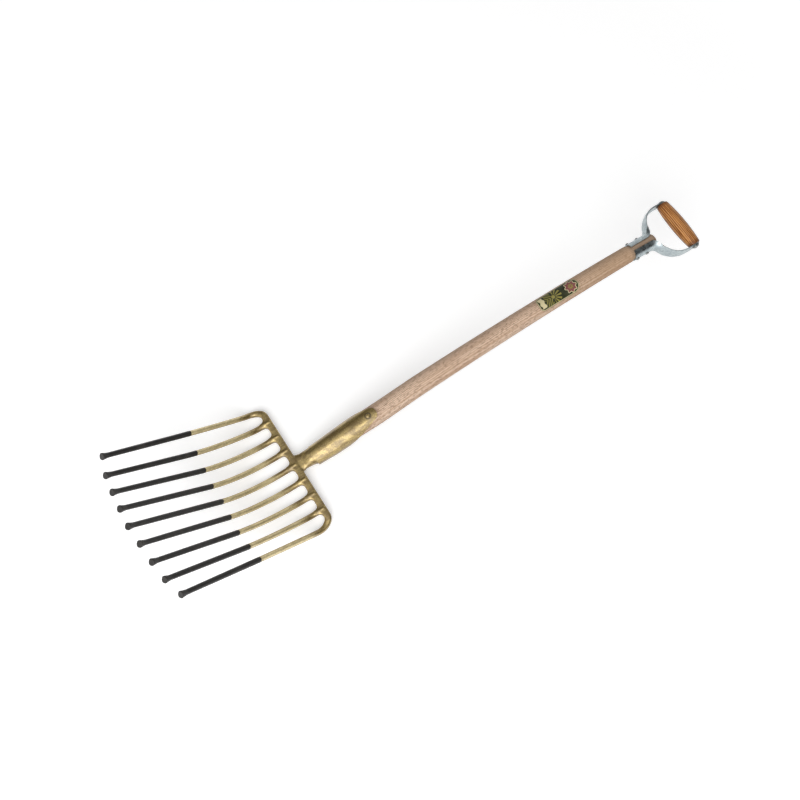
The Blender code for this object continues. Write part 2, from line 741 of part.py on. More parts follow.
def yoke_rivet_cutters(yoke, owner):
    reach = 2.0 * YOKE_OUTER_RADIUS
    hole = YOKE_RIVET_RADIUS + HOLE_CLEARANCE
    cutters = []
    for index, distance in enumerate(YOKE_RIVETS_TO_GRIP):
        name = "%s_rivet_hole_%d" % (owner, index + 1)
        cutters.append(rod_cutter(name, hole, (-reach, -distance, 0.0), (reach, -distance, 0.0), yoke))
    return cutters


def make_yoke_rivets(yoke):
    seat = YOKE_OUTER_RADIUS + SEAT_GAP
    profile = rivet_profile(YOKE_RIVET_RADIUS, YOKE_RIVET_HEAD_RADIUS, -seat, seat)
    for name, distance in zip(("yoke_rivet_lower", "yoke_rivet_upper"), YOKE_RIVETS_TO_GRIP):
        rivet = turned(name, profile, STEEL, yoke, steps=20)
        rivet.rotation_euler = (0.0, TURN / 4.0, 0.0)
        rivet.location = (0.0, -distance, 0.0)


def make_hand_grip(yoke):
    """The turned barrel with its bore, its rod riveted over two washers."""
    body = GRIP_HALF_LENGTH - GRIP_END_ROUND
    chamfer = GRIP_END_ROUND * GRIP_CHAMFER_SHARE
    outer = [(GRIP_END_RADIUS - GRIP_END_ROUND, GRIP_HALF_LENGTH),
             (GRIP_END_RADIUS - chamfer, GRIP_HALF_LENGTH - chamfer)]
    for k in range(13):
        along = 1.0 - 2.0 * k / 12.0
        swell = GRIP_END_RADIUS + (GRIP_MIDDLE_RADIUS - GRIP_END_RADIUS) * (1.0 - along * along)
        outer.append((swell, body * along))
    outer += [(radius, -height) for radius, height in reversed(outer[:2])]
    bore = ROD_RADIUS + HOLE_CLEARANCE
    profile = [(bore, GRIP_HALF_LENGTH)] + outer + [(bore, -GRIP_HALF_LENGTH)]
    grip = turned("hand_grip", profile, VARNISH, yoke, closed=True)
    grip.rotation_euler = (0.0, TURN / 4.0, 0.0)

    washer_inner = EYE_OUTER + SEAT_GAP
    washer_outer = washer_inner + WASHER_THICKNESS
    ring = [(bore, washer_outer), (WASHER_RADIUS, washer_outer),
            (WASHER_RADIUS, washer_inner), (bore, washer_inner)]
    for name, side in (("grip_washer_left", -1.0), ("grip_washer_right", 1.0)):
        washer = turned(name, ring, ZINC, yoke, closed=True)
        washer.rotation_euler = (0.0, side * TURN / 4.0, 0.0)

    seat = washer_outer + SEAT_GAP
    profile = rivet_profile(ROD_RADIUS, ROD_HEAD_RADIUS, -seat, seat)
    rod = turned("grip_rod", profile, STEEL, yoke)
    rod.rotation_euler = (0.0, TURN / 4.0, 0.0)


# Label

def make_label(helve):
    """A printed label bent round the front of the shaft, with one round end."""
    half_width = LABEL_WIDTH / 2.0
    columns = 12
    lengths = [LABEL_LENGTH * k / 12.0 for k in range(10)]
    lengths += [LABEL_LENGTH - half_width * (1.0 - math.sin(math.radians(a))) for a in (20, 40, 60, 76)]
    rows = []
    for length in lengths:
        past = max(0.0, length - (LABEL_LENGTH - half_width))
        half = math.sqrt(max(0.0, half_width ** 2 - past ** 2))
        station = LABEL_START + length
        y, z, slope = axis_place(station)
        radius = shaft_radius(station) + SEAT_GAP
        row = []
        for c in range(columns + 1):
            angle = half / radius * (2.0 * c / columns - 1.0)
            up = radius * math.cos(angle)
            row.append((radius * math.sin(angle), y - up * math.sin(slope), z + up * math.cos(slope)))
        rows.append(row)
    label = grid_surface("label", rows, PAPER, helve)
    solidify(label, LABEL_THICKNESS, 1.0)


def points_of(items):
    """The world's Y and Z of every vertex of the objects."""
    graph = bpy.context.evaluated_depsgraph_get()
    points = []
    for item in items:
        evaluated = item.evaluated_get(graph)
        mesh = evaluated.to_mesh()
        for vertex in mesh.vertices:
            place = item.matrix_world @ vertex.co
            points.append((place.y, place.z))
        evaluated.to_mesh_clear()
    return points


def lay_on_floor(origin):
    """Tips the fork until head and socket both touch the floor, with its middle at the origin."""
    bpy.context.view_layer.update()
    solids = [item for item in PARTS.objects if item.type != "EMPTY"]
    head = points_of([item for item in solids if item.parent == origin])
    helve = points_of([item for item in solids if item.parent != origin])

    def lowest(points, tilt):
        return min(y * math.sin(tilt) + z * math.cos(tilt) for y, z in points)

    low = 0.0
    high = REST_TILT_LIMIT
    for _ in range(REST_TILT_STEPS):
        tilt = (low + high) / 2.0
        if lowest(helve, tilt) < lowest(head, tilt):
            low = tilt
        else:
            high = tilt
    along = [y * math.cos(tilt) - z * math.sin(tilt) for y, z in head + helve]
    middle = (min(along) + max(along)) / 2.0
    origin.rotation_euler = (tilt, 0.0, 0.0)
    origin.location = (0.0, -middle, -lowest(head + helve, tilt))
    bpy.context.view_layer.update()


clear_scene()
PARTS = new_collection("ballast_fork")
GUIDES = new_collection("cutters")
GOLD = new_material("gold_lacquer", (0.52, 0.40, 0.17), 0.38, 0.6)
BLACK = new_material("black_dip", (0.025, 0.023, 0.021), 0.5, 0.0)
ASH = new_material("ash", (0.66, 0.47, 0.34), 0.6, 0.0)
VARNISH = new_material("varnished_ash", (0.55, 0.27, 0.10), 0.3, 0.0)
ZINC = new_material("zinc_plate", (0.60, 0.65, 0.67), 0.3, 1.0)
STEEL = new_material("rivet_steel", (0.45, 0.45, 0.44), 0.4, 1.0)
PAPER = new_material("label_paper", (0.10, 0.13, 0.05), 0.45, 0.0)


def main():
    origin = add_empty("fork_origin")
    helve = add_empty("helve_axis", origin, (0.0, 0.0, BAR_HEIGHT / 2.0), HELVE_RISE)
    y, z, slope = axis_place(HELVE_LENGTH)
    yoke = add_empty("grip_axis", helve, (0.0, y, z), slope)
    make_crossbar(origin)
    make_tines(origin)
    make_socket(helve)
    make_socket_rivet(helve)
    make_shaft(helve, yoke)
    make_label(helve)
    make_yoke_arm("yoke_arm_left", -1.0, yoke)
    make_yoke_arm("yoke_arm_right", 1.0, yoke)
    make_yoke_rivets(yoke)
    make_hand_grip(yoke)
    lay_on_floor(origin)


main()
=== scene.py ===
"""The looks of a ballast fork: gold head, black tine ends, ash helve and pressed steel D grip."""

import math

import bmesh
import bpy
from mathutils import Matrix, Vector


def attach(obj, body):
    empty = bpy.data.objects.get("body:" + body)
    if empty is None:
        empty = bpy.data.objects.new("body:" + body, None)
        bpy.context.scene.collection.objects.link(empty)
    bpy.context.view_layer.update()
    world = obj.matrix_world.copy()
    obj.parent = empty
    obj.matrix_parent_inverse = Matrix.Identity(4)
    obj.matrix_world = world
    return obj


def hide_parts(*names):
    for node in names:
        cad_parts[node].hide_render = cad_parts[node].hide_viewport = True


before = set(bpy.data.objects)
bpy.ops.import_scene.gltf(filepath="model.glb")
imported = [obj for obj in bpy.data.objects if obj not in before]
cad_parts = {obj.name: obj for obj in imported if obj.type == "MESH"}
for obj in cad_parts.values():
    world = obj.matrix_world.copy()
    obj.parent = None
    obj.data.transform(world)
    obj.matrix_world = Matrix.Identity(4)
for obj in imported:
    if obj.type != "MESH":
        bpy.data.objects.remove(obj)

bl_info = {
    "name": "Ballast fork",
    "version": (1, 0, 0),
    "blender": (4, 5, 0),
    "location": "3D View > Sidebar > Fork",
    "description": "Dresses the packed ballast fork with its finished pieces and materials",
    "category": "Object",
}

TURN = math.tau
BODY = "root"

# The solids' own sizes, in metres and radians

FORK_PLACE = (0.0, -0.2939553, 0.0036125)
FORK_TILT = 0.1471998
HELVE_RISE = math.radians(2.9)

TINE_COUNT = 9
OUTER_TINES = (0, TINE_COUNT - 1)
TINE_PITCH = 0.032
TINE_WIDTH = 0.0108
TINE_HEIGHT = 0.0122
TINE_SECTION_POWER = 1.7
TINE_LENGTH = 0.357
TINE_ARC = 0.147
TINE_RISE = math.radians(53.8)
TINE_FAN_SCALE = 1.015
OUTER_TINE_SHORTER = 0.040
OUTER_SHORTER_POWER = 1.4
OUTER_ARC_LONGER = 0.039
OUTER_RISE_LESS = math.radians(10.2)
OUTER_ROOT_RISE = math.radians(39.0)
OUTER_ROOT_INSET = 0.0006
OUTER_INSET_LENGTH = 0.012
ROOT_LEAD = 0.001
ROOT_BEND_LENGTH = 0.016
TINE_TIP_SCALE = 0.80
BUTTON_SCALE = 1.12
BUTTON_LENGTH = 0.013
BUTTON_FLARE_POWER = 1.4
BUTTON_RIM = 0.0012

BAR_WIDTH = 0.0135
BAR_HEIGHT = 0.013
BAR_CORNER_RADIUS = 0.0232
CORNER_END = 0.012
STUB_END = 0.01695
SEAT_GAP = 0.0003

SOCKET_WALL = 0.0022
SOCKET_CLEARANCE = 0.0004
SOCKET_EDGE = 0.0007
NECK_ROOT_WIDTH = 0.036
NECK_WAIST_WIDTH = 0.031
NECK_WAIST_STATION = 0.016
WING_START = 0.0375
NECK_END = 0.0445
WING_END = 0.1155
WING_BACK_END = 0.105
WING_SKEW = 0.010
WING_BULGE = 0.0038
WING_BULGE_START = math.radians(30.0)
WING_BULGE_FULL = math.radians(80.0)
WING_BULGE_BACK = math.radians(115.0)
WING_BULGE_FADE = 0.070
TONGUE_END = 0.1765
TONGUE_HALF_ANGLE = math.radians(35.0)
TONGUE_TIP_ROUND = 0.012
SEAM_HALF_ANGLE = math.radians(4.0)
SOCKET_RIVET_STATION = 0.159
SOCKET_RIVET_RADIUS = 0.0026
SOCKET_RIVET_HEAD_RADIUS = 0.0043

HELVE_LENGTH = 0.8875
HELVE_SWAY = 0.0020
SWAY_RISE_LENGTH = 0.045
SWAY_RISE_END = 0.035
SWAY_FALL_START = 0.170
SWAY_FALL_END = 0.280
BEND_START = 0.30
BEND_LENGTH = 0.50
BEND_ANGLE = math.radians(9.2)
SHAFT_FOOT_RADIUS = 0.0152
SHAFT_MOUTH_STATION = 0.1155
SHAFT_MOUTH_RADIUS = 0.0188
SHAFT_FULL_STATION = 0.165
SHAFT_FULL_RADIUS = 0.0199
SHAFT_TOP_RADIUS = 0.0168
SPIGOT_RADIUS = 0.0150
SHOULDER_TO_GRIP = 0.131
SHOULDER_LENGTH = 0.0075
SPIGOT_DOME_TO_GRIP = 0.074
SPIGOT_END_TO_GRIP = 0.062

YOKE_WALL = 0.0022
ARM_EDGE = 0.0005
YOKE_FOOT_TO_GRIP = 0.1235
YOKE_CROTCH_TO_GRIP = 0.083
YOKE_WRAP = math.radians(74.0)
YOKE_MID_RADIUS = 0.0165
YOKE_OUTER_RADIUS = 0.0176
CROTCH_HANDLE = 0.019
BOW_HANDLE_OUT = 0.061
BOW_HANDLE_TO_GRIP = 0.066
BOW_HALF_DEPTH = 0.0140
BOW_CROWN = 0.0026
BOW_BLEND_END = 0.45
EYE_HALF_DEPTH = 0.0085
EYE_CROWN = 0.0002
EYE_SHOULDER_TO_GRIP = 0.008
EYE_MID = 0.0541
EYE_OUTER = 0.0552
YOKE_RIVET_RADIUS = 0.0025
YOKE_RIVET_HEAD_RADIUS = 0.0036
YOKE_RIVETS_TO_GRIP = (0.1175, 0.0940)
RIVET_HEAD_HEIGHT = 0.0022

GRIP_HALF_LENGTH = 0.0525
GRIP_MIDDLE_RADIUS = 0.0153
GRIP_END_RADIUS = 0.0122
GRIP_END_ROUND = 0.0030
ROD_RADIUS = 0.0040
ROD_HEAD_RADIUS = 0.0055
WASHER_RADIUS = 0.0070
WASHER_THICKNESS = 0.0012

LABEL_START = 0.5395
LABEL_LENGTH = 0.092
LABEL_WIDTH = 0.031
LABEL_THICKNESS = 0.00025
LABEL_CORNER = 0.0095

SIDES = (("left", -1.0), ("right", 1.0))

# How the volumes of the forging run into each other, in metres and shares of a section

CORNER_OVERLAP = 0.003
CORNER_PULL = 0.60
BAR_SECTION_POWER = 3.4
CORNER_END_POWER = 1.8
ROOT_DEPTH = 0.006
ROOT_FADE_START = 0.020
ROOT_FADE_END = 0.034
ROOT_PROUD = 1.03
ROOT_SINK = 0.14
ROOT_INSIDE = 0.9
GUIDE_DEPTH = 0.012
GUIDE_SUNK = 0.90
GUIDE_RISE = (0.016, 0.026)

# The black dip, by the distance past its line

WAVER_START = 0.8
WAVER_TURN = 2.4
BARE_END = 0.0035
COAT_START = -0.0007
COAT_RISE = (-0.0008, 0.0001)
BEAD_SHARE = 0.5
BEAD_RISE = (0.0, 0.0012)
BEAD_FALL = (0.008, 0.002)

# The print on the label, along it from its lower end

PANEL_BAND = (0.0045, 0.0140)
PANEL_WAVE_PITCH = 0.0105
PANEL_WAVE_DEPTH = 0.0011
PANEL_ASIDE = (0.0108, 0.0112)
LEAF_BAND = (0.0165, 0.0305)
LEAF_ASIDE = (0.0128, 0.0132)
LEAF_SLANT = 0.8
LEAF_PITCH = 0.0052
SUN_CENTRE = 0.034
SUN_DISC = 0.0036
SUN_INNER = 0.0050
SUN_OUTER = 0.0175
SUN_RAYS = 13.0
FLOWER_CENTRE = 0.0745
FLOWER_PETALS = 8.0
FLOWER_PETAL_DEPTH = 0.0016
FLOWER_RIM = (0.0118, 0.0123)
FLOWER_FACE = (0.0102, 0.0107)
FLOWER_HEART = (0.0042, 0.0046)
FLOWER_EYE = (0.0016, 0.0019)
BORDER_BAND = (0.0005, 0.0017)

# Where the surfaces change

PALE_GOLD_Y = (-0.318, -0.352)
# Where the painted shadow ring round the socket's rivet rises and fades, by distance from its
# middle.
RIVET_SHADE_START = (0.0038, 0.0046)
RIVET_SHADE_END = (0.0058, 0.0074)
HANDLED_BAND = (0.50, 0.72)
# The length above the shoulder over which the grime and painted shade on the spigot come in.
SHOULDER_GRIME_AND_SHADE = 0.012
# How far short of the grip's middle the painted shade on the arms starts and is full.
EYE_SHADE = (0.020, 0.002)
BARREL_RING_WIDTH = 0.0034
BARREL_END_SHADE = (0.012, 0.0005)

# How finely the pieces are divided

TINE_STEP = 0.0008
GUIDE_STEP = 0.003
BUTTON_LEAD = 0.015
BUTTON_STEP = 0.0006
BUTTON_STEPS = 23
BUTTON_ROWS = 6
DIP_STEPS = (-0.0006, -0.0004, -0.0002, 0.0, 0.0004, 0.0010, 0.0030)
TINE_SIDES = 28
FORGING_SIDES = 32
ROOT_ROWS = 26
CORNER_ROWS = 24
NECK_SIDES = 48
NECK_ROWS = 6
SOCKET_ROWS = 44
TONGUE_COLUMNS = 16
WING_COLUMNS = 34
SHAFT_SIDES = 64
SHAFT_ROWS = 180
SHOULDER_ROWS = 8
SPIGOT_ROWS = 12
DOME_ROWS = 12
LABEL_ROWS = 36
LABEL_COLUMNS = 40
SHELL_ROWS = 12
BOW_ROWS = 60
EYE_ROWS = 14
ARM_COLUMNS = 26
TURNED_SIDES = 48
HEAD_ROWS = 10
GRIP_SIDES = 64
GRIP_ROWS = 48
GRIP_EDGE_ROWS = 8

# Parts of the sky: the direction, the band over which it changes, and the level at each side

SKY_LIGHT = ((0.75, -0.53, 0.40), -0.25, 0.85, 0.10, 1.36)
SKY_DARK_SCREEN = ((0.62, 0.58, 0.53), 0.72, 0.90, 1.0, 0.05)
SKY_PALE_SCREEN = ((-0.58, 0.80, 0.15), 0.60, 0.88, 0.0, 0.85)

# The floor and the lamps

KEY_PLACE = (1.6, -1.45, 1.8)
KEY_SIZE = 2.5
FILL_PLACE = (-1.6, 1.2, 2.2)
FILL_SIZE = 2.0
FLOOR_REACH = 6.0
FAR_FLOOR = (1.0, 3.5)
FAR_FLOOR_GLOW = 0.7

# The view of the photograph

CAMERA_PLACE = (0.41827, -0.53947, 1.59992)
CAMERA_TURN = (0.36977, -0.10415, 0.98804)
CAMERA_LENS = 40.5
CAMERA_SENSOR = 36.0


# Settings that a user would change

def length(name, description, default):
    return bpy.props.FloatProperty(name=name, description=description, default=default,
                                   subtype="DISTANCE", unit="LENGTH", precision=5)


def colour(name, description, default):
    return bpy.props.FloatVectorProperty(name=name, description=description, default=default,
                                         subtype="COLOR", size=3, min=0.0, max=1.0)


def strength(name, description, default):
    return bpy.props.FloatProperty(name=name, description=description, default=default, min=0.0)


def lamp_power(name, description, default):
    return bpy.props.FloatProperty(name=name, description=description, default=default, min=0.0,
                                   subtype="POWER", unit="POWER")


class HeadSettings(bpy.types.PropertyGroup):
    dip_start: length("Dip start", "From the bar to the black dip on the middle tine", 0.1445)
    dip_slant: length("Dip slant", "How much more of the last tine is bare", 0.0055)
    dip_waver: length("Dip waver", "How unevenly the dip line lies from tine to tine", 0.0018)
    coat: length("Dip coat", "Thickness of the black coat over the lacquer", 0.00018)
    grain: length("Forging grain", "Size of the cells that blend the forging", 0.0009)
    blend: bpy.props.IntProperty(name="Forging blend", default=5, min=0, max=20,
                                 description="Smoothing passes over the forging")
    gold: colour("Gold lacquer", "Colour of the lacquered forging", (0.45, 0.325, 0.105))
    gold_pale: colour("Pale gold", "Colour of the lacquer down the tines", (0.86, 0.715, 0.385))
    # Also the colour of the painted shade on steep and downward faces and round the socket's rivet.
    gold_dark: colour("Gold shade", "Colour of thin or dirty lacquer", (0.18, 0.115, 0.032))
    black: colour("Black dip", "Colour of the coat on the tine ends", (0.016, 0.0145, 0.013))
    dust: colour("Dust", "Colour of the dust on the black coat", (0.09, 0.08, 0.068))


class HelveSettings(bpy.types.PropertyGroup):
    ash: colour("Ash", "Main colour of the ash wood", (0.505, 0.332, 0.222))
    ash_pale: colour("Pale ash", "Colour of the wood between the rings", (0.77, 0.585, 0.445))
    ash_pore: colour("Ash pores", "Colour of the short dark pores", (0.21, 0.12, 0.07))
    ash_handled: colour("Handled ash", "Colour of the handled end", (0.42, 0.265, 0.15))
    # Colour of the grime and the painted shade on the spigot between the arms.
    ash_grime_and_shade: colour("Grimy ash", "Colour of the wood between the arms", (0.20, 0.155, 0.12))
    ring_width: length("Ring width", "Distance between two growth rings", 0.0030)


class LabelSettings(bpy.types.PropertyGroup):
    field: colour("Field", "Ground colour of the label", (0.020, 0.024, 0.008))
    motif: colour("Motif", "Colour of the leaves and rays", (0.29, 0.25, 0.060))
    panel: colour("Panel", "Colour of the pale bands", (0.66, 0.58, 0.34))
    seal: colour("Seal", "Colour of the round flower", (0.23, 0.070, 0.070))
    worn: colour("Worn print", "Colour of the rubbed edge", (0.62, 0.54, 0.42))
    faded: colour("Faded print", "Colour of the faded patches", (0.50, 0.46, 0.34))


class GripSettings(bpy.types.PropertyGroup):
    zinc: colour("Zinc", "Colour of the galvanised arms", (0.47, 0.53, 0.54))
    zinc_dark: colour("Dull zinc", "Colour of the duller crystals", (0.36, 0.41, 0.43))
    stain: colour("Zinc stain", "Colour of the stains on the arms", (0.20, 0.20, 0.18))
    # Colour of the painted shade on the arms towards their eyes.
    eye_shade: colour("Eye grime", "Colour of the dirt round the eyes", (0.13, 0.12, 0.10))
    steel: colour("Rivet steel", "Colour of the rivets and the rod", (0.33, 0.34, 0.33))
    rust: colour("Rust", "Colour of the rust in the hollows", (0.14, 0.10, 0.07))
    wood: colour("Grip wood", "Main colour of the varnished grip", (0.40, 0.152, 0.038))
    wood_pale: colour("Pale grip wood", "Colour of the pale streaks", (0.64, 0.30, 0.090))
    wood_dark: colour("Dark grip wood", "Colour of the dark streaks", (0.14, 0.042, 0.010))


class StageSettings(bpy.types.PropertyGroup):
    floor: colour("Floor", "Colour of the floor and the background", (0.97, 0.97, 0.97))
    bounce: colour("Floor bounce", "Floor colour that other surfaces see", (0.31, 0.31, 0.31))
    glow: strength("Floor glow", "Lift of the floor towards white", 0.30)
    sky: strength("Sky", "Strength of the even light", 0.82)
    key: lamp_power("Key light", "Power of the soft key light", 43.0)
    fill: lamp_power("Fill light", "Power of the fill light", 0.8)


SETTINGS = (("fork_head", HeadSettings), ("fork_helve", HelveSettings),
            ("fork_label", LabelSettings), ("fork_grip", GripSettings),
            ("fork_stage", StageSettings))


# Frames along the tool

def fork_frame():
    return Matrix.Translation(FORK_PLACE) @ Matrix.Rotation(FORK_TILT, 4, "X")


def helve_frame():
    """The frame of the straight part of the helve, with its origin in the middle of the bar."""
    rise = Matrix.Rotation(HELVE_RISE, 4, "X")
    return fork_frame() @ Matrix.Translation((0.0, 0.0, BAR_HEIGHT / 2.0)) @ rise


def axis_place(station):
    """The helve's axis at a station: its place along and above the straight part, and its slope."""
    radius = BEND_LENGTH / BEND_ANGLE
    bent = min(max(station - BEND_START, 0.0), BEND_LENGTH)
    straight = max(0.0, station - BEND_START - BEND_LENGTH)
    turn = bent / radius
    y = min(station, BEND_START) + radius * math.sin(turn) + straight * math.cos(turn)
    z = -radius * (1.0 - math.cos(turn)) - straight * math.sin(turn)
    return y, z, -turn


def axis_sway(station):
    """How far the foot of the helve lies to the right of the middle of the head."""
    rise = smooth(SWAY_RISE_END - SWAY_RISE_LENGTH, SWAY_RISE_END, station)
    return HELVE_SWAY * rise * (1.0 - smooth(SWAY_FALL_START, SWAY_FALL_END, station))


def station_frame(station):
    """The frame of the helve's cross-section at a station."""
    y, z, slope = axis_place(station)
    place = Matrix.Translation((axis_sway(station), y, z))
    return helve_frame() @ place @ Matrix.Rotation(slope, 4, "X")


def grip_frame():
    return station_frame(HELVE_LENGTH)


# Steps, outlines and curves

def between(start, end, part):
    """The value a part of the way from the start to the end."""
    return start + (end - start) * part


def spread(low, high, count, first=0):
    """Values from low to high in even steps, from the step numbered first on."""
    return [between(low, high, k / count) for k in range(first, count + 1)]


def quarter_turn(count, whole=None, first=0):
    """Angles in even steps up to a quarter turn, or short of it where the whole has more steps."""
    return [TURN / 4.0 * k / (whole or count) for k in range(first, count + 1)]


def whole_turn(count, shift=0.0):
    """Angles evenly round a whole turn."""
    return [TURN * (k + shift) / count for k in range(count)]


def smooth(low, high, value):
    """0 below low, 1 above high and an even S between them."""
    part = min(1.0, max(0.0, (value - low) / (high - low)))
    return part * part * (3.0 - 2.0 * part)


def signed_power(value, power):
    return math.copysign(abs(value) ** power, value)


def superellipse(half_width, half_height, power, count):
    """An outline between an ellipse (power 2) and a rectangle (a high power)."""
    points = []
    for angle in whole_turn(count, 0.5):
        points.append((half_width * signed_power(math.cos(angle), 2.0 / power),
                       half_height * signed_power(math.sin(angle), 2.0 / power)))
    return points


def bezier(nodes, t):
    """The point at t on a curve of four nodes, and the curve's direction there."""
    weights = ((1 - t) ** 3, 3 * t * (1 - t) ** 2, 3 * t * t * (1 - t), t ** 3)
    slopes = (-3 * (1 - t) ** 2, 3 * (1 - t) * (1 - 3 * t), 3 * t * (2 - 3 * t), 3 * t * t)
    nodes = [Vector(node) for node in nodes]
    place = sum((node * weight for node, weight in zip(nodes, weights)), nodes[0] * 0.0)
    slope = sum((node * rate for node, rate in zip(nodes, slopes)), nodes[0] * 0.0)
    return place, slope.normalized()


def headings(points):
    """The direction of a line of points at each of them."""
    last = len(points) - 1
    return [(points[min(k + 1, last)] - points[max(k - 1, 0)]).normalized()
            for k in range(last + 1)]


def square_to(heading, direction):
    """The part of a direction that stands square to a heading."""
    return (direction - heading * direction.dot(heading)).normalized()


# Rules of the pieces

def tine_offset(index):
    """The place of a tine across the head, from -1 at the first to 1 at the last."""
    middle = (TINE_COUNT - 1) / 2.0
    return (index - middle) / middle


def tine_x(index):
    return TINE_PITCH * (index - (TINE_COUNT - 1) / 2.0)


def root_x(index):
    """The place of a tine's root across the bar: the outer tines start a little further in."""
    outward = tine_offset(index)
    inset = OUTER_ROOT_INSET if abs(outward) == 1.0 else 0.0
    return tine_x(index) - math.copysign(inset, outward)


def tine_length(index):
    return TINE_LENGTH - OUTER_TINE_SHORTER * abs(tine_offset(index)) ** OUTER_SHORTER_POWER


def tine_line(index, stations):
    """Points of a tine's centre line at rising stations from its root, in the row's frame.

    Stations below zero lie on the straight line into the bar.
    """
    outward = tine_offset(index) ** 2
    root_rise = OUTER_ROOT_RISE * outward
    rise = TINE_RISE - OUTER_RISE_LESS * outward
    arc = TINE_ARC + OUTER_ARC_LONGER * outward
    whole = tine_length(index)
    root = Vector((root_x(index), -STUB_END - SEAT_GAP, BAR_HEIGHT / 2.0))
    place = fork_frame() @ Matrix.Translation(root)
    points = []
    there = 0.0
    y = 0.0
    z = 0.0
    for station in stations:
        if station > 0.0:
            steps = max(1, math.ceil((station - there) / TINE_STEP))
            part = (station - there) / steps
            for k in range(steps):
                middle = max(0.0, there + part * (k + 0.5) - ROOT_LEAD)
                slope = root_rise * min(1.0, middle / ROOT_BEND_LENGTH)
                slope += (rise - root_rise) * min(1.0, middle / arc)
                y -= part * math.cos(slope)
                z += part * math.sin(slope)
            there = station
        x = tine_x(index) * (TINE_FAN_SCALE - 1.0) * max(0.0, station) / whole
        x += (tine_x(index) - root_x(index)) * smooth(0.0, OUTER_INSET_LENGTH, station)
        points.append(place @ Vector((x, y - min(0.0, station), z)))
    return points


def tine_scale(index, station):
    """The size of a tine's section: an even taper, and a flared button with a flat end."""
    whole = tine_length(index)
    flare = whole - BUTTON_LENGTH
    widest = whole - BUTTON_RIM
    taper = 1.0 + (TINE_TIP_SCALE - 1.0) * min(1.0, max(0.0, station) / flare)
    open_share = min(1.0, max(0.0, station - flare) / (widest - flare))
    scale = taper + (BUTTON_SCALE - taper) * open_share ** BUTTON_FLARE_POWER
    past = min(1.0, max(0.0, station - widest) / BUTTON_RIM)
    return scale - 2.0 * BUTTON_RIM / TINE_WIDTH * (1.0 - math.sqrt(1.0 - past * past))


def dip_station(index, settings):
    """Where the black coat starts on a tine: a slanting line that wavers a little."""
    waver = math.sin(WAVER_TURN * index + WAVER_START) * settings.dip_waver
    return settings.dip_start + settings.dip_slant * tine_offset(index) + waver


def shaft_radius(station):
    top = HELVE_LENGTH - SHOULDER_TO_GRIP
    marks = ((NECK_END, SHAFT_FOOT_RADIUS), (SHAFT_MOUTH_STATION, SHAFT_MOUTH_RADIUS),
             (SHAFT_FULL_STATION, SHAFT_FULL_RADIUS), (top, SHAFT_TOP_RADIUS))
    if station <= marks[0][0]:
        return marks[0][1]
    for (low, small), (high, large) in zip(marks, marks[1:]):
        if station <= high:
            return small + (large - small) * (station - low) / (high - low)
    return SHAFT_TOP_RADIUS


def socket_rim(angle):
    """The station where the socket's wall ends, by the angle from the front."""
    away = abs(angle)
    side_end = WING_END - WING_SKEW if angle > 0.0 else WING_END
    tongue_side = TONGUE_END - TONGUE_TIP_ROUND
    if away <= TONGUE_HALF_ANGLE:
        part = away / TONGUE_HALF_ANGLE
        return tongue_side + TONGUE_TIP_ROUND * math.sqrt(max(0.0, 1.0 - part * part))
    quarter = TURN / 4.0
    if away <= quarter:
        part = (away - TONGUE_HALF_ANGLE) / (quarter - TONGUE_HALF_ANGLE)
        return tongue_side + (side_end - tongue_side) * part
    return side_end + (WING_BACK_END - side_end) * (away - quarter) / quarter


def wing_lift(station, angle):
    """How far the right wing stands off the shaft: most at its side and near its front end."""
    last = TURN / 2.0 - SEAM_HALF_ANGLE
    side = smooth(WING_BULGE_START, WING_BULGE_FULL, angle)
    side *= 1.0 - smooth(WING_BULGE_BACK, last, angle)
    return WING_BULGE * side * (1.0 - smooth(WING_BULGE_FADE, WING_END, station) / 2.0)


# Making of meshes

def add_object(name, data, material=None):
    item = bpy.data.objects.new(name, data)
    bpy.context.scene.collection.objects.link(item)
    if material is not None:
        data.materials.append(material)
    return item


def face_outward(mesh):
    shape = bmesh.new()
    shape.from_mesh(mesh)
    bmesh.ops.recalc_face_normals(shape, faces=shape.faces)
    shape.to_mesh(mesh)
    shape.free()


def surface(name, rows, material=None, ring=False, caps=False, flip=False):
    """A grid of faces through rows of points; a ring closes each row, and caps close the ends."""
    across = len(rows[0])
    faces = []
    for r in range(len(rows) - 1):
        for c in range(across if ring else across - 1):
            n = (c + 1) % across
            face = (r * across + c, r * across + n, (r + 1) * across + n, (r + 1) * across + c)
            faces.append(face[::-1] if flip else face)
    if caps:
        last = (len(rows) - 1) * across
        faces.append(tuple(range(across)))
        faces.append(tuple(last + k for k in reversed(range(across))))
    mesh = bpy.data.meshes.new(name)
    mesh.from_pydata([tuple(point) for row in rows for point in row], [], faces)
    mesh.polygons.foreach_set("use_smooth", [True] * len(mesh.polygons))
    if ring:
        face_outward(mesh)
    return add_object(name, mesh, material)


def store(mesh, name, kind, values):
    """Keeps a number or a vector a vertex for the materials and the nodes to read."""
    layer = mesh.attributes.new(name, kind, "POINT")
    key = "value" if kind == "FLOAT" else "vector"
    layer.data.foreach_set(key, values)


def frozen(item, name=None):
    """A plain mesh object of what the item's modifiers make, in place of the item."""
    bpy.context.view_layer.update()
    evaluated = item.evaluated_get(bpy.context.evaluated_depsgraph_get())
    mesh = bpy.data.meshes.new_from_object(evaluated)
    name = name or item.name
    bpy.data.objects.remove(item, do_unlink=True)
    mesh.name = name
    return add_object(name, mesh)


def settle(item, *nodes):
    """Hands a finished piece to the frame in place of the solids that it stands for."""
    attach(item, BODY)
    if nodes:
        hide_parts(*nodes)
    return item


def wall(item, thickness, offset):
    step = item.modifiers.new("wall", "SOLIDIFY")
    step.thickness = thickness
    step.offset = offset
    step.use_even_offset = True


def soften(item, width, segments=2, angle=50.0):
    step = item.modifiers.new("edges", "BEVEL")
    step.width = width
    step.segments = segments
    step.limit_method = "ANGLE"
    step.angle_limit = math.radians(angle)
    step.harden_normals = True


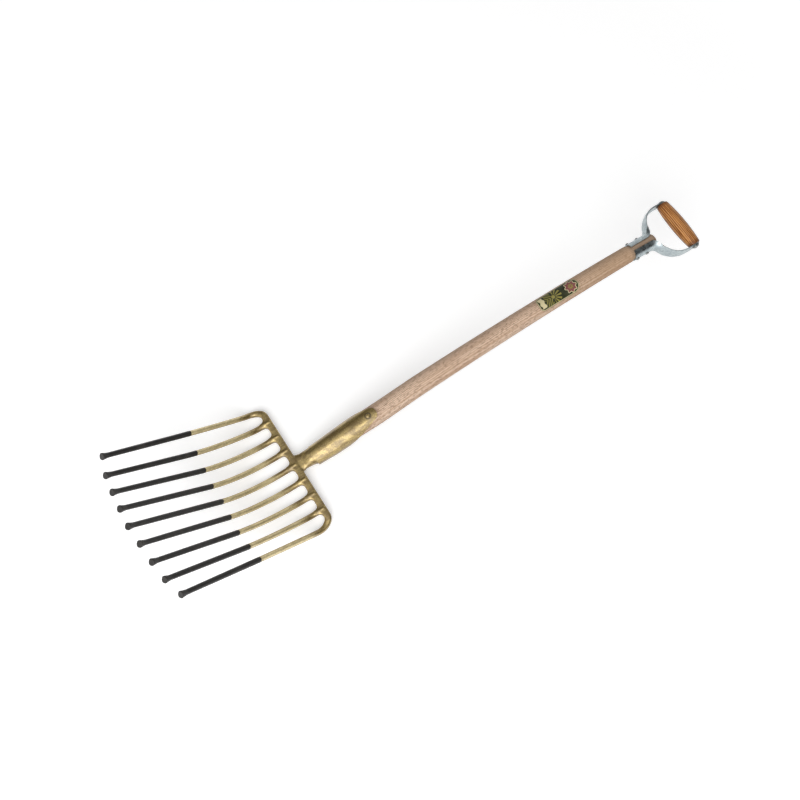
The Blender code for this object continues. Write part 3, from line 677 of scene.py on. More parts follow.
def turned(name, profile, place, material, sides=TURNED_SIDES):
    """A closed turned piece about the X axis of a frame, from (radius, along) points."""
    rows = []
    for radius, along in profile:
        ring = [(along, radius * math.cos(angle), radius * math.sin(angle))
                for angle in whole_turn(sides)]
        rows.append([place @ Vector(point) for point in ring])
    return surface(name, rows, material, ring=True, caps=True)


# Making of materials

class Net:
    """The nodes of a tree, with short calls for the steps that repeat."""

    def __init__(self, tree):
        self.tree = tree

    def node(self, kind, inputs=(), **settings):
        made = self.tree.nodes.new(kind)
        for key, value in settings.items():
            setattr(made, key, value)
        for key, value in dict(inputs).items():
            self.put(made.inputs[key], value)
        return made

    def out(self, kind, inputs=(), output=0, **settings):
        """One output of a new node."""
        return self.node(kind, inputs, **settings).outputs[output]

    def put(self, socket, value):
        if isinstance(value, bpy.types.NodeSocket):
            self.tree.links.new(value, socket)
            return
        if socket.type == "RGBA" and len(value) == 3:
            value = (*value, 1.0)
        socket.default_value = value

    def math(self, operation, first, second=0.0, third=0.0):
        return self.out("ShaderNodeMath", {0: first, 1: second, 2: third}, operation=operation)

    def times(self, first, second):
        return self.math("MULTIPLY", first, second)

    def add_scaled(self, value, scale, to):
        return self.math("MULTIPLY_ADD", value, scale, to)

    def distance(self, first, second):
        """How far a point is from the origin, by its places along two axes."""
        total = self.math("ADD", self.times(first, first), self.times(second, second))
        return self.math("SQRT", total)

    def wave(self, value, pitch):
        return self.math("SINE", self.times(value, TURN / pitch))

    def ramp(self, value, low, high, start=0.0, end=1.0):
        """A smooth change from the start at the low value to the end at the high one."""
        inputs = {"Value": value, "From Min": low, "From Max": high, "To Min": start, "To Max": end}
        return self.out("ShaderNodeMapRange", inputs, interpolation_type="SMOOTHSTEP")

    def mix(self, factor, first, second):
        return self.out("ShaderNodeMix", {0: factor, 6: first, 7: second}, 2, data_type="RGBA")

    def cover(self, tone, colour, value, low, high, start=0.0, end=1.0):
        """A tone with a colour laid over it by a smooth change of a value."""
        return self.mix(self.ramp(value, low, high, start, end), tone, colour)

    def split(self, vector):
        return self.node("ShaderNodeSeparateXYZ", {0: vector}).outputs

    def stretched(self, vector, scale):
        return self.out("ShaderNodeMapping", {"Vector": vector, "Scale": scale})

    def noise(self, vector, scale, detail=3.0, rough=0.5):
        inputs = {"Vector": vector, "Scale": scale, "Detail": detail, "Roughness": rough}
        return self.out("ShaderNodeTexNoise", inputs, "Fac")

    def streaks(self, vector, scale, detail=3.0, rough=0.5):
        """Noise with a scale of its own along each axis."""
        return self.noise(self.stretched(vector, scale), 1.0, detail, rough)

    def cells(self, vector, scale, feature="F1", output="Distance"):
        inputs = {"Vector": vector, "Scale": scale}
        return self.out("ShaderNodeTexVoronoi", inputs, output, feature=feature)

    def bump(self, height, depth, strength=1.0, after=None):
        inputs = {"Height": height, "Distance": depth, "Strength": strength}
        if after is not None:
            inputs["Normal"] = after
        return self.out("ShaderNodeBump", inputs)


class Finish(Net):
    """The nodes of a material, from its coordinates to its shader."""

    def __init__(self, name):
        self.material = bpy.data.materials.new(name)
        self.material.use_nodes = True
        super().__init__(self.material.node_tree)

    def place(self):
        return self.out("ShaderNodeTexCoord", output="Object")

    def stored(self, name):
        return self.out("ShaderNodeAttribute", output="Vector", attribute_name=name)

    def done(self, **inputs):
        shader = self.tree.nodes["Principled BSDF"]
        for key, value in inputs.items():
            self.put(shader.inputs[key.replace("_", " ")], value)
        return self.material


def gold_lacquer(settings):
    """Gold lacquer over forge scale: mottled and dirty on the bar, paler down the tines, with
    painted shade on steep and downward faces and round the socket's rivet.
    """
    net = Finish("gold_lacquer_finish")
    spot = net.place()
    broad = net.noise(net.stretched(spot, (1.0, 0.2, 1.0)), 150.0, 3.0, 0.55)
    fine = net.noise(spot, 420.0, 4.0, 0.6)
    speck = net.noise(spot, 1500.0, 2.0, 0.5)
    streak = net.streaks(spot, (300.0, 22.0, 300.0), 3.0, 0.55)
    upward = net.split(net.out("ShaderNodeNewGeometry", output="Normal"))[2]
    down = net.ramp(net.split(spot)[1], *PALE_GOLD_Y)

    def by_place(level, on_bar, on_tines):
        return net.times(level, net.ramp(down, 0.0, 1.0, on_bar, on_tines))

    dirt = net.ramp(net.add_scaled(fine, 0.45, broad), 0.60, 0.84)
    # Dirt and stains, and as the third entry painted shade: the lacquer darkens on faces that do
    # not look up.
    stains_and_shade = (by_place(dirt, 0.70, 0.25),
              by_place(net.ramp(streak, 0.50, 0.70, 0.0, 0.45), 1.0, 0.4),
              net.ramp(upward, 0.50, 0.08, 0.0, 0.60),
              net.ramp(speck, 0.60, 0.72, 0.0, 0.35),
              by_place(net.ramp(fine, 0.46, 0.66, 0.0, 0.38), 1.0, 0.4))
    tone = net.mix(down, settings.gold, settings.gold_pale)
    for level in stains_and_shade:
        tone = net.mix(level, tone, settings.gold_dark)
    # Painted shadow: a dark ring on the lacquer round the socket's rivet.
    seat = Vector((0.0, 0.0, SHAFT_FULL_RADIUS + SOCKET_WALL))
    rivet = station_frame(SOCKET_RIVET_STATION) @ seat
    apart = net.out("ShaderNodeVectorMath", {0: spot, 1: rivet}, "Value", operation="DISTANCE")
    ring = net.times(net.ramp(apart, *RIVET_SHADE_START),
                     net.ramp(apart, *RIVET_SHADE_END, 1.0, 0.0))
    tone = net.mix(net.times(ring, 0.75), tone, [0.35 * part for part in settings.gold_dark])
    hammered = net.cells(net.stretched(spot, (1.0, 0.22, 1.0)), 120.0, "SMOOTH_F1")
    normal = net.bump(fine, 0.0006, 0.14, net.bump(hammered, 0.0010, 0.08))
    rough = net.ramp(net.add_scaled(fine, 0.5, broad), 0.5, 1.0, 0.32, 0.48)
    return net.done(Base_Color=tone, Metallic=net.ramp(down, 0.0, 1.0, 0.80, 0.55), Roughness=rough,
                    Normal=normal, Coat_Weight=0.8, Coat_IOR=1.75, Coat_Roughness=0.26)


def black_dip(settings):
    """Black dipped paint: satin, slightly sagged, dusty in places."""
    net = Finish("black_dip_finish")
    spot = net.place()
    broad = net.noise(spot, 55.0, 3.0, 0.5)
    fine = net.noise(spot, 700.0, 3.0, 0.6)
    dusty = net.add_scaled(fine, 0.4, broad)
    tone = net.cover(settings.black, settings.dust, dusty, 0.70, 0.92, 0.0, 0.22)
    normal = net.bump(fine, 0.0003, 0.25, net.bump(broad, 0.0012, 0.20))
    rough = net.ramp(fine, 0.3, 0.7, 0.30, 0.46)
    return net.done(Base_Color=tone, Roughness=rough, Normal=normal, Specular_IOR_Level=0.40)


def ash_wood(settings):
    """Planed ash along the helve: pale rings, long soft streaks and short dark pores."""
    net = Finish("ash_finish")
    grain = net.stored("grain")
    side, along, front = net.split(grain)
    wander = net.streaks(grain, (14.0, 1.6, 14.0), 3.0, 0.5)
    across = net.add_scaled(wander, 0.016, net.add_scaled(front, 0.35, side))
    rings = net.wave(across, settings.ring_width)
    streak = net.streaks(grain, (420.0, 7.0, 420.0), 4.0, 0.6)
    broad = net.streaks(grain, (60.0, 4.0, 60.0), 2.0, 0.5)
    pores = net.streaks(grain, (1250.0, 95.0, 1250.0), 2.0, 0.55)
    coarse = net.streaks(grain, (430.0, 150.0, 430.0), 2.0, 0.6)
    grime = net.streaks(grain, (30.0, 9.0, 30.0), 5.0, 0.65)
    pale = net.ramp(net.add_scaled(rings, 0.16, streak), 0.30, 0.72)
    tone = net.mix(pale, settings.ash, settings.ash_pale)
    tone = net.cover(tone, settings.ash, broad, 0.35, 0.7, 0.0, 0.35)
    fleck = net.times(net.ramp(pores, 0.60, 0.72), net.ramp(rings, -0.9, 0.7, 1.0, 0.35))
    tone = net.mix(net.times(fleck, 0.60), tone, settings.ash_pore)
    tone = net.cover(tone, settings.ash_pore, coarse, 0.48, 0.66, 0.0, 0.55)
    tone = net.cover(tone, settings.ash_pore, grime, 0.58, 0.80, 0.0, 0.25)
    tone = net.cover(tone, settings.ash_handled, along, *HANDLED_BAND, 0.0, 0.60)
    # Grime with painted shade: the spigot between the arms is darkened from the shoulder up.
    shoulder = HELVE_LENGTH - SHOULDER_TO_GRIP
    grime_and_shade = (shoulder, shoulder + SHOULDER_GRIME_AND_SHADE)
    tone = net.cover(tone, settings.ash_grime_and_shade, along, *grime_and_shade, 0.0, 0.5)
    normal = net.bump(streak, 0.0004, 0.25, net.bump(pores, 0.0004, 0.35))
    rough = net.ramp(streak, 0.3, 0.7, 0.52, 0.66)
    return net.done(Base_Color=tone, Roughness=rough, Normal=normal, Specular_IOR_Level=0.35)


def varnished_wood(settings):
    """Turned ash under varnish: orange brown with dark streaks along the barrel."""
    net = Finish("varnished_ash_finish")
    grain = net.stored("grain")
    along, front, up = net.split(grain)
    wander = net.streaks(grain, (9.0, 40.0, 40.0), 3.0, 0.5)
    across = net.add_scaled(wander, 0.008, net.add_scaled(up, 0.5, front))
    rings = net.wave(across, BARREL_RING_WIDTH)
    streak = net.streaks(grain, (13.0, 300.0, 300.0), 4.0, 0.62)
    pores = net.streaks(grain, (140.0, 1500.0, 1500.0), 2.0, 0.5)
    mixed = net.add_scaled(rings, 0.13, streak)
    tone = net.cover(settings.wood, settings.wood_pale, mixed, 0.45, 0.66)
    tone = net.cover(tone, settings.wood_dark, mixed, 0.49, 0.36, 0.0, 0.85)
    tone = net.cover(tone, settings.wood_dark, pores, 0.60, 0.70, 0.0, 0.55)
    away = net.math("ABSOLUTE", along)
    ends = (GRIP_HALF_LENGTH - inset for inset in BARREL_END_SHADE)
    tone = net.cover(tone, settings.wood_dark, away, *ends, 0.0, 0.85)
    normal = net.bump(pores, 0.0002, 0.2, net.bump(streak, 0.0005, 0.22))
    return net.done(Base_Color=tone, Roughness=0.36, Normal=normal, Coat_Weight=0.35,
                    Coat_Roughness=0.18, Specular_IOR_Level=0.2)


def zinc_plate(settings):
    """Galvanised pressed steel: soft crystal patches, dull grey with a cool cast."""
    net = Finish("zinc_finish")
    spot = net.place()
    crystal = net.out("ShaderNodeSeparateColor", {0: net.cells(spot, 260.0, "F1", "Color")})
    broad = net.noise(spot, 70.0, 3.0, 0.55)
    fine = net.noise(spot, 900.0, 3.0, 0.6)
    patch = net.noise(spot, 160.0, 4.0, 0.6)
    blotch = net.add_scaled(crystal, 0.35, broad)
    tone = net.cover(settings.zinc, settings.zinc_dark, blotch, 0.42, 0.92)
    tone = net.cover(tone, settings.stain, patch, 0.62, 0.78, 0.0, 0.35)
    along = net.split(spot)[1]
    # Painted shade: the arms darken towards their eyes, beside the grip's ends.
    eye = (grip_frame().translation.y - short for short in EYE_SHADE)
    tone = net.cover(tone, settings.eye_shade, along, *eye, 0.0, 0.55)
    normal = net.bump(fine, 0.0003, 0.20, net.bump(broad, 0.0008, 0.25))
    rough = net.ramp(crystal, 0.0, 1.0, 0.26, 0.40)
    return net.done(Base_Color=tone, Metallic=1.0, Roughness=rough, Normal=normal)


def rivet_steel(settings):
    """Hammered rivet heads: plain grey steel with brown in the hollows."""
    net = Finish("rivet_finish")
    spot = net.place()
    dents = net.cells(spot, 700.0, "SMOOTH_F1")
    fine = net.noise(spot, 1800.0, 3.0, 0.6)
    patch = net.noise(spot, 600.0, 4.0, 0.6)
    tone = net.cover(settings.steel, settings.rust, patch, 0.50, 0.72, 0.0, 0.55)
    normal = net.bump(fine, 0.0002, 0.25, net.bump(dents, 0.0008, 0.5))
    rough = net.ramp(fine, 0.3, 0.7, 0.30, 0.5)
    return net.done(Base_Color=tone, Metallic=0.85, Roughness=rough, Normal=normal)


def label_print(settings):
    """A plain decorative label: green ground, rays, leaf band, pale borders and a round flower."""
    net = Finish("label_finish")
    sheet = net.stored("sheet")
    across, along, _ = net.split(sheet)
    aside = net.math("ABSOLUTE", across)
    half = LABEL_WIDTH / 2.0

    def stripe(value, low, high, soft=0.00025):
        rising = net.ramp(value, low - soft, low + soft)
        return net.times(rising, net.ramp(value, high - soft, high + soft, 1.0, 0.0))

    def around(centre):
        rise = net.math("SUBTRACT", along, centre)
        return net.distance(across, rise), net.math("ARCTAN2", across, rise)

    def past(limit, value):
        return net.math("MAXIMUM", net.math("SUBTRACT", value, limit), 0.0)

    tone = net.cover(settings.field, [1.5 * part for part in settings.field],
                     net.noise(sheet, 90.0, 3.0, 0.6), 0.3, 0.7)

    away, bearing = around(SUN_CENTRE)
    rays = net.math("SINE", net.times(bearing, SUN_RAYS))
    lit = net.times(net.ramp(rays, -0.1, 0.2), stripe(away, SUN_INNER, SUN_OUTER))
    lit = net.times(lit, net.ramp(along, SUN_CENTRE - 0.0005, SUN_CENTRE + 0.0005))
    tone = net.mix(lit, tone, settings.motif)
    tone = net.mix(stripe(away, 0.0, SUN_DISC), tone, settings.motif)

    chevron = net.wave(net.add_scaled(aside, LEAF_SLANT, along), LEAF_PITCH)
    band = net.times(net.ramp(chevron, 0.0, 0.3), stripe(along, *LEAF_BAND))
    band = net.times(band, net.ramp(aside, *LEAF_ASIDE, 1.0, 0.0))
    tone = net.mix(band, tone, settings.motif)

    edge = net.add_scaled(net.wave(across, PANEL_WAVE_PITCH), PANEL_WAVE_DEPTH, along)
    inner = net.ramp(aside, *PANEL_ASIDE, 1.0, 0.0)
    tone = net.mix(net.times(stripe(edge, *PANEL_BAND), inner), tone, settings.panel)

    away, bearing = around(FLOWER_CENTRE)
    petals = net.math("COSINE", net.times(bearing, FLOWER_PETALS))
    reach = net.add_scaled(petals, -FLOWER_PETAL_DEPTH, away)
    layers = ((reach, FLOWER_RIM, settings.panel), (reach, FLOWER_FACE, settings.seal),
              (reach, FLOWER_HEART, settings.motif), (away, FLOWER_EYE, settings.seal))
    for value, band, ink in layers:
        tone = net.cover(tone, ink, value, *band, 1.0, 0.0)

    rim = net.math("SUBTRACT", half, net.distance(across, past(LABEL_LENGTH - half, along)))
    short = net.math("MAXIMUM", net.math("SUBTRACT", LABEL_CORNER, along), 0.0)
    corner = net.distance(past(half - LABEL_CORNER, aside), short)
    inset = net.math("MINIMUM", rim, net.math("SUBTRACT", LABEL_CORNER, corner))
    tone = net.mix(stripe(inset, *BORDER_BAND), tone, settings.panel)

    rubbed = net.noise(sheet, 420.0, 5.0, 0.65)
    scuff = net.add_scaled(inset, -180.0, rubbed)
    tone = net.cover(tone, settings.worn, scuff, 0.58, 0.70, 0.0, 0.8)
    tone = net.cover(tone, settings.faded, net.noise(sheet, 45.0, 3.0, 0.5), 0.4, 0.75, 0.0, 0.08)
    crease = net.streaks(sheet, (60.0, 260.0, 60.0), 3.0, 0.5)
    return net.done(Base_Color=tone, Roughness=net.ramp(rubbed, 0.3, 0.7, 0.34, 0.5),
                    Normal=net.bump(crease, 0.0003, 0.3), Specular_IOR_Level=0.3)


def shared_material(name, make, settings):
    """The material of that name, made when it is first asked for."""
    return bpy.data.materials.get(name) or make(settings)


def gold(scene):
    return shared_material("gold_lacquer_finish", gold_lacquer, scene.fork_head)


def steel(scene):
    return shared_material("rivet_finish", rivet_steel, scene.fork_grip)


def zinc(scene):
    return shared_material("zinc_finish", zinc_plate, scene.fork_grip)


# Head

def bar_volume(half_length):
    """The crossbar's own solid, cut off square where its corners start."""
    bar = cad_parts["crossbar"]
    shape = bmesh.new()
    shape.from_mesh(bar.data)
    shape.transform(bar.matrix_world)
    bmesh.ops.remove_doubles(shape, verts=shape.verts, dist=1.0e-5)
    for side in (-1.0, 1.0):
        geometry = shape.verts[:] + shape.edges[:] + shape.faces[:]
        bmesh.ops.bisect_plane(shape, geom=geometry, dist=1.0e-6, clear_outer=True,
                               plane_co=(side * half_length, 0.0, 0.0), plane_no=(side, 0.0, 0.0))
        rim = [edge for edge in shape.edges if edge.is_boundary]
        bmesh.ops.contextual_create(shape, geom=rim)
    mesh = bpy.data.meshes.new("bar_volume")
    shape.to_mesh(mesh)
    shape.free()
    return add_object("bar_volume", mesh)


def root_volume(index):
    """A tine's first part, from inside the bar to where it has sunk into the swept tine."""
    low = CORNER_END - CORNER_OVERLAP if index in OUTER_TINES else -ROOT_DEPTH
    stations = spread(low, ROOT_FADE_END, ROOT_ROWS)
    places = tine_line(index, stations)
    rows = []
    for station, place, ahead in zip(stations, places, headings(places)):
        level = square_to(ahead, Vector((1.0, 0.0, 0.0)))
        up = level.cross(ahead)
        scale = tine_scale(index, station)
        scale *= ROOT_PROUD - ROOT_SINK * smooth(ROOT_FADE_START, ROOT_FADE_END, station)
        if station < 0.0:
            scale *= ROOT_INSIDE
        ring = superellipse(TINE_WIDTH / 2.0 * scale, TINE_HEIGHT / 2.0 * scale,
                            TINE_SECTION_POWER, FORGING_SIDES)
        rows.append([place + level * x + up * z for x, z in ring])
    return surface("root_volume", rows, ring=True, caps=True)


def corner_volume(side, start_x):
    """An outer tine's bar where it bends in one curve round the end of the crossbar."""
    index = OUTER_TINES[1] if side > 0.0 else OUTER_TINES[0]
    level = fork_frame()
    upward = level.to_3x3() @ Vector((0.0, 0.0, 1.0))
    start = level @ Vector((side * start_x, 0.0, BAR_HEIGHT / 2.0))
    end, past = tine_line(index, [CORNER_END, CORNER_END + 0.001])
    out = Vector((side, 0.0, 0.0))
    ahead = (past - end).normalized()
    nodes = (start, start + out * CORNER_PULL * abs(end.x - start.x),
             end - ahead * CORNER_PULL * (end - start).dot(ahead), end)
    parts = spread(0.0, 1.0, CORNER_ROWS)
    points = [start - out * ROOT_DEPTH] + [bezier(nodes, part)[0] for part in parts]
    points.append(end + ahead * CORNER_OVERLAP)
    rows = []
    for part, point, heading in zip([0.0] + parts + [1.0], points, headings(points)):
        up = square_to(heading, upward)
        across = up.cross(heading)
        part = smooth(0.0, 1.0, part)
        outline = superellipse(between(BAR_WIDTH, TINE_WIDTH, part) / 2.0,
                               between(BAR_HEIGHT, TINE_HEIGHT, part) / 2.0,
                               between(BAR_SECTION_POWER, CORNER_END_POWER, part),
                               FORGING_SIDES)
        rows.append([point + across * u + up * v for u, v in outline])
    return surface("corner_volume", rows, ring=True, caps=True)


def neck_volume():
    """The neck from the bar to the foot of the wings, swelling on the right with the wing."""
    end_radius = SHAFT_FOOT_RADIUS + SOCKET_CLEARANCE + SOCKET_WALL / 2.0
    root = BAR_WIDTH / 2.0
    waist = NECK_WAIST_STATION
    middle = (waist + WING_START) / 2.0
    half_root = NECK_ROOT_WIDTH / 2.0
    half_waist = NECK_WAIST_WIDTH / 2.0
    # The station, half width, half height and power of each outline
    shapes = (
        (0.0, half_root, BAR_HEIGHT * 0.42, 3.0),
        (root, half_root, BAR_HEIGHT * 0.42, 3.0),
        ((root + waist) / 2.0, (half_root + half_waist) / 2.0, BAR_HEIGHT * 0.46, 2.6),
        (waist, half_waist, BAR_HEIGHT * 0.58, 2.4),
        (middle, (half_waist + end_radius) / 2.0, end_radius * 0.80, 2.1),
        (WING_START - SOCKET_WALL / 2.0, end_radius, end_radius, 2.0),
        (NECK_END, end_radius, end_radius, 2.0),
    )
    sections = []
    for low, high in zip(shapes, shapes[1:]):
        for part in spread(0.0, 1.0, NECK_ROWS)[:-1]:
            sections.append([between(a, b, part) for a, b in zip(low, high)])
    place = helve_frame()
    rows = []
    for station, width, height, power in sections + [shapes[-1]]:
        sway = axis_sway(station)
        lift = wing_lift(station, TURN / 4.0) * smooth(middle, NECK_END, station)
        outline = superellipse(width, height, power, NECK_SIDES)
        rows.append([place @ Vector((x + sway + lift * max(0.0, x) / width, station, z))
                     for x, z in outline])
    return surface("neck_volume", rows, ring=True, caps=True)


def forging_parts():
    """Overlapping closed volumes of the forging: bar, roots of the tines, corners and neck."""
    half_length = root_x(OUTER_TINES[1]) + TINE_WIDTH / 2.0 - BAR_CORNER_RADIUS
    parts = [bar_volume(half_length)]
    parts += [root_volume(index) for index in range(TINE_COUNT)]
    parts += [corner_volume(side, half_length) for side in (-1.0, 1.0)]
    return parts + [neck_volume()]


def joined(parts, name):
    """One mesh object of several; the parts are removed."""
    shape = bmesh.new()
    for part in parts:
        shape.from_mesh(part.data)
    mesh = bpy.data.meshes.new(name)
    shape.to_mesh(mesh)
    shape.free()
    for part in parts:
        bpy.data.objects.remove(part, do_unlink=True)
    return add_object(name, mesh)


class FORK_OT_forging(bpy.types.Operator):
    """Blends the crossbar, the roots of the tines and the neck into one forging"""

    bl_idname = "fork.forging"
    bl_label = "Forging"

    def execute(self, context):
        settings = context.scene.fork_head
        item = joined(forging_parts(), "head_forging")
        cells = item.modifiers.new("cells", "REMESH")
        cells.mode = "VOXEL"
        cells.voxel_size = settings.grain
        cells.use_smooth_shade = True
        if settings.blend:
            even = item.modifiers.new("blend", "SMOOTH")
            even.factor = 0.5
            even.iterations = settings.blend
        item = frozen(item)
        item.data.materials.clear()
        item.data.materials.append(gold(context.scene))
        settle(item, "crossbar")
        return {"FINISHED"}


def tine_tree(bare, dipped):
    """Nodes that run a ridged bar along each line, bare where it says so and coated beyond."""
    tree = bpy.data.node_groups.new("dipped_tine", "GeometryNodeTree")
    tree.is_modifier = True
    sockets = (("Line", "Geometry", None), ("Width", "Float", TINE_WIDTH),
               ("Height", "Float", TINE_HEIGHT), ("Power", "Float", TINE_SECTION_POWER),
               ("Bare", "Material", bare), ("Dipped", "Material", dipped))
    for label, kind, value in sockets:
        made = tree.interface.new_socket(label, in_out="INPUT", socket_type="NodeSocket" + kind)
        if value is not None:
            made.default_value = value
    tree.interface.new_socket("Tine", in_out="OUTPUT", socket_type="NodeSocketGeometry")
    net = Net(tree)
    given = net.node("NodeGroupInput").outputs
    power = net.math("DIVIDE", 2.0, given["Power"])

    def stretch(part, size):
        raised = net.math("POWER", net.math("ABSOLUTE", part), power)
        return net.times(net.times(raised, net.math("SIGN", part)), net.times(size, 0.5))

    ring = net.out("GeometryNodeCurvePrimitiveCircle", {"Resolution": TINE_SIDES, "Radius": 1.0})
    across, up, _ = net.split(net.out("GeometryNodeInputPosition"))
    inputs = {0: stretch(across, given["Width"]), 1: stretch(up, given["Height"])}
    corner = net.out("ShaderNodeCombineXYZ", inputs)
    section = net.out("GeometryNodeSetPosition", {"Geometry": ring, "Position": corner})
    join = net.node("GeometryNodeJoinGeometry")
    for name, finish in (("bare", "Bare"), ("coat", "Dipped")):
        scale = net.out("GeometryNodeInputNamedAttribute", {"Name": name}, data_type="FLOAT")
        unused = net.out("FunctionNodeCompare", {0: scale, 1: 0.001}, data_type="FLOAT",
                         operation="LESS_THAN")
        inputs = {"Geometry": given["Line"], "Selection": unused}
        kept = net.out("GeometryNodeDeleteGeometry", inputs, domain="POINT")
        run = net.out("GeometryNodeMeshToCurve", {0: kept})
        upright = net.out("GeometryNodeSetCurveNormal", {"Curve": run}, mode="Z_UP")
        inputs = {"Curve": upright, "Profile Curve": section, "Scale": scale, "Fill Caps": True}
        bar = net.out("GeometryNodeCurveToMesh", inputs)
        inputs = {"Geometry": bar, "Material": given[finish]}
        net.put(join.inputs[0], net.out("GeometryNodeSetMaterial", inputs))
    even = net.out("GeometryNodeSetShadeSmooth", {"Geometry": join.outputs[0]})
    net.node("NodeGroupOutput", {0: net.out("GeometryNodeRealizeInstances", {0: even})})
    return tree


def tine_guide(index, settings):
    """A line down the middle of a tine, with the scales of its bare and its coated bar."""
    whole = tine_length(index)
    dip = dip_station(index, settings)
    coat = 2.0 * settings.coat / TINE_WIDTH
    low = CORNER_END if index in OUTER_TINES else -GUIDE_DEPTH
    count = int((whole - BUTTON_LEAD - 0.001 - low) / GUIDE_STEP)
    stations = [low + GUIDE_STEP * k for k in range(count)]
    stations += [whole - BUTTON_LEAD + BUTTON_STEP * k for k in range(BUTTON_STEPS)]
    stations += [whole - BUTTON_RIM * (1.0 - math.sin(angle))
                 for angle in quarter_turn(BUTTON_ROWS)]
    stations += [dip + step for step in DIP_STEPS]
    stations = sorted(set(round(station, 6) for station in stations))
    bare = []
    coated = []
    for station in stations:
        scale = tine_scale(index, station)
        past = station - dip
        sunk = scale * between(GUIDE_SUNK, 1.0, smooth(*GUIDE_RISE, station))
        bare.append(sunk if past <= BARE_END else 0.0)
        proud = coat * (2.0 * smooth(*COAT_RISE, past) - 1.0)
        proud += coat * BEAD_SHARE * smooth(*BEAD_RISE, past) * smooth(*BEAD_FALL, past)
        coated.append(scale * (1.0 + proud) if past >= COAT_START else 0.0)
    mesh = bpy.data.meshes.new("tine_guide")
    edges = [(k, k + 1) for k in range(len(stations) - 1)]
    mesh.from_pydata([tuple(point) for point in tine_line(index, stations)], edges, [])
    store(mesh, "bare", "FLOAT", bare)
    store(mesh, "coat", "FLOAT", coated)
    return add_object("tine_guide", mesh)


class FORK_OT_tines(bpy.types.Operator):
    """Adds the nine ridged tines with their black dipped ends"""

    bl_idname = "fork.tines"
    bl_label = "Tines"

    def execute(self, context):
        settings = context.scene.fork_head
        tree = tine_tree(gold(context.scene), black_dip(settings))
        for index in range(TINE_COUNT):
            guide = tine_guide(index, settings)
            nodes = guide.modifiers.new("bar", "NODES")
            nodes.node_group = tree
            item = frozen(guide, "dipped_tine_%d" % (index + 1))
            settle(item, "tine_%d" % (index + 1))
        return {"FINISHED"}


# Socket

class FORK_OT_socket(bpy.types.Operator):
    """Adds the socket's wings and tongue, wrapped round the foot of the helve"""

    bl_idname = "fork.socket"
    bl_label = "Socket"

    def execute(self, context):
        half = [TONGUE_HALF_ANGLE * math.sin(angle) for angle in quarter_turn(TONGUE_COLUMNS)]
        half += spread(TONGUE_HALF_ANGLE, TURN / 2.0 - SEAM_HALF_ANGLE, WING_COLUMNS, 1)
        angles = [-angle for angle in reversed(half[1:])] + half
        place = helve_frame()
        rows = []
        for part in spread(0.0, 1.0, SOCKET_ROWS):
            row = []
            for angle in angles:
                station = between(WING_START, socket_rim(angle), part)
                radius = shaft_radius(station) + SOCKET_CLEARANCE + wing_lift(station, angle)
                x = axis_sway(station) + radius * math.sin(angle)
                row.append(place @ Vector((x, station, radius * math.cos(angle))))
            rows.append(row)
        item = surface("socket_wings", rows, gold(context.scene))
        wall(item, SOCKET_WALL, 1.0)
        soften(item, SOCKET_EDGE, 3)
        settle(frozen(item), "socket")
        return {"FINISHED"}


# Shaft

def shaft_marks():
    """Stations down the shaft with the radius at each, to the end of the spigot's dome."""
    top = HELVE_LENGTH - SHOULDER_TO_GRIP
    low = top + SHOULDER_LENGTH
    dome = HELVE_LENGTH - SPIGOT_DOME_TO_GRIP
    rise = SPIGOT_DOME_TO_GRIP - SPIGOT_END_TO_GRIP
    marks = [(station, shaft_radius(station))
             for station in spread(NECK_END + SOCKET_CLEARANCE, top, SHAFT_ROWS)]
    for part in spread(0.0, 1.0, SHOULDER_ROWS, 1):
        radius = between(SHAFT_TOP_RADIUS, SPIGOT_RADIUS, smooth(0.0, 1.0, part))
        marks.append((top + SHOULDER_LENGTH * part, radius))
    marks += [(station, SPIGOT_RADIUS) for station in spread(low, dome, SPIGOT_ROWS, 1)]
    marks += [(dome + rise * math.sin(angle), SPIGOT_RADIUS * math.cos(angle))
              for angle in quarter_turn(DOME_ROWS, DOME_ROWS + 0.5, 1)]
    return marks


class FORK_OT_shaft(bpy.types.Operator):
    """Adds the bent ash shaft with its shoulder and spigot"""

    bl_idname = "fork.shaft"
    bl_label = "Shaft"

    def execute(self, context):
        rows = []
        grain = []
        for station, radius in shaft_marks():
            place = station_frame(station)
            ring = [(radius * math.sin(angle), radius * math.cos(angle))
                    for angle in whole_turn(SHAFT_SIDES)]
            rows.append([place @ Vector((x, 0.0, z)) for x, z in ring])
            for x, z in ring:
                grain += (x, station, z)
        item = surface("ash_shaft", rows, ash_wood(context.scene.fork_helve), ring=True, caps=True)
        store(item.data, "grain", "FLOAT_VECTOR", grain)
        settle(item, "shaft")
        return {"FINISHED"}


class FORK_OT_label(bpy.types.Operator):
    """Adds the printed label round the front of the shaft"""

    bl_idname = "fork.label"
    bl_label = "Label"

    def execute(self, context):
        half_width = LABEL_WIDTH / 2.0
        straight = LABEL_LENGTH - half_width
        lengths = [LABEL_CORNER * (1.0 - math.cos(angle)) for angle in quarter_turn(9, 10.0)]
        lengths += spread(LABEL_CORNER, straight, LABEL_ROWS)
        lengths += [straight + half_width * math.sin(angle) for angle in quarter_turn(12, 12.4, 1)]
        rows = []
        sheet = []
        for along in lengths:
            past = max(0.0, along - straight)
            short = max(0.0, LABEL_CORNER - along)
            half = math.sqrt(max(0.0, half_width ** 2 - past ** 2))
            half -= LABEL_CORNER - math.sqrt(LABEL_CORNER ** 2 - short ** 2)
            station = LABEL_START + along
            radius = shaft_radius(station) + SEAT_GAP / 2.0
            place = station_frame(station)
            row = []
            for across in spread(-half, half, LABEL_COLUMNS):
                angle = across / radius
                x = radius * math.sin(angle)
                row.append(place @ Vector((x, 0.0, radius * math.cos(angle))))
                sheet += (across, along, 0.0)
            rows.append(row)
        item = surface("printed_label", rows, label_print(context.scene.fork_label))
        store(item.data, "sheet", "FLOAT_VECTOR", sheet)
        wall(item, LABEL_THICKNESS, 1.0)
        settle(frozen(item), "label")
        return {"FINISHED"}


# Grip

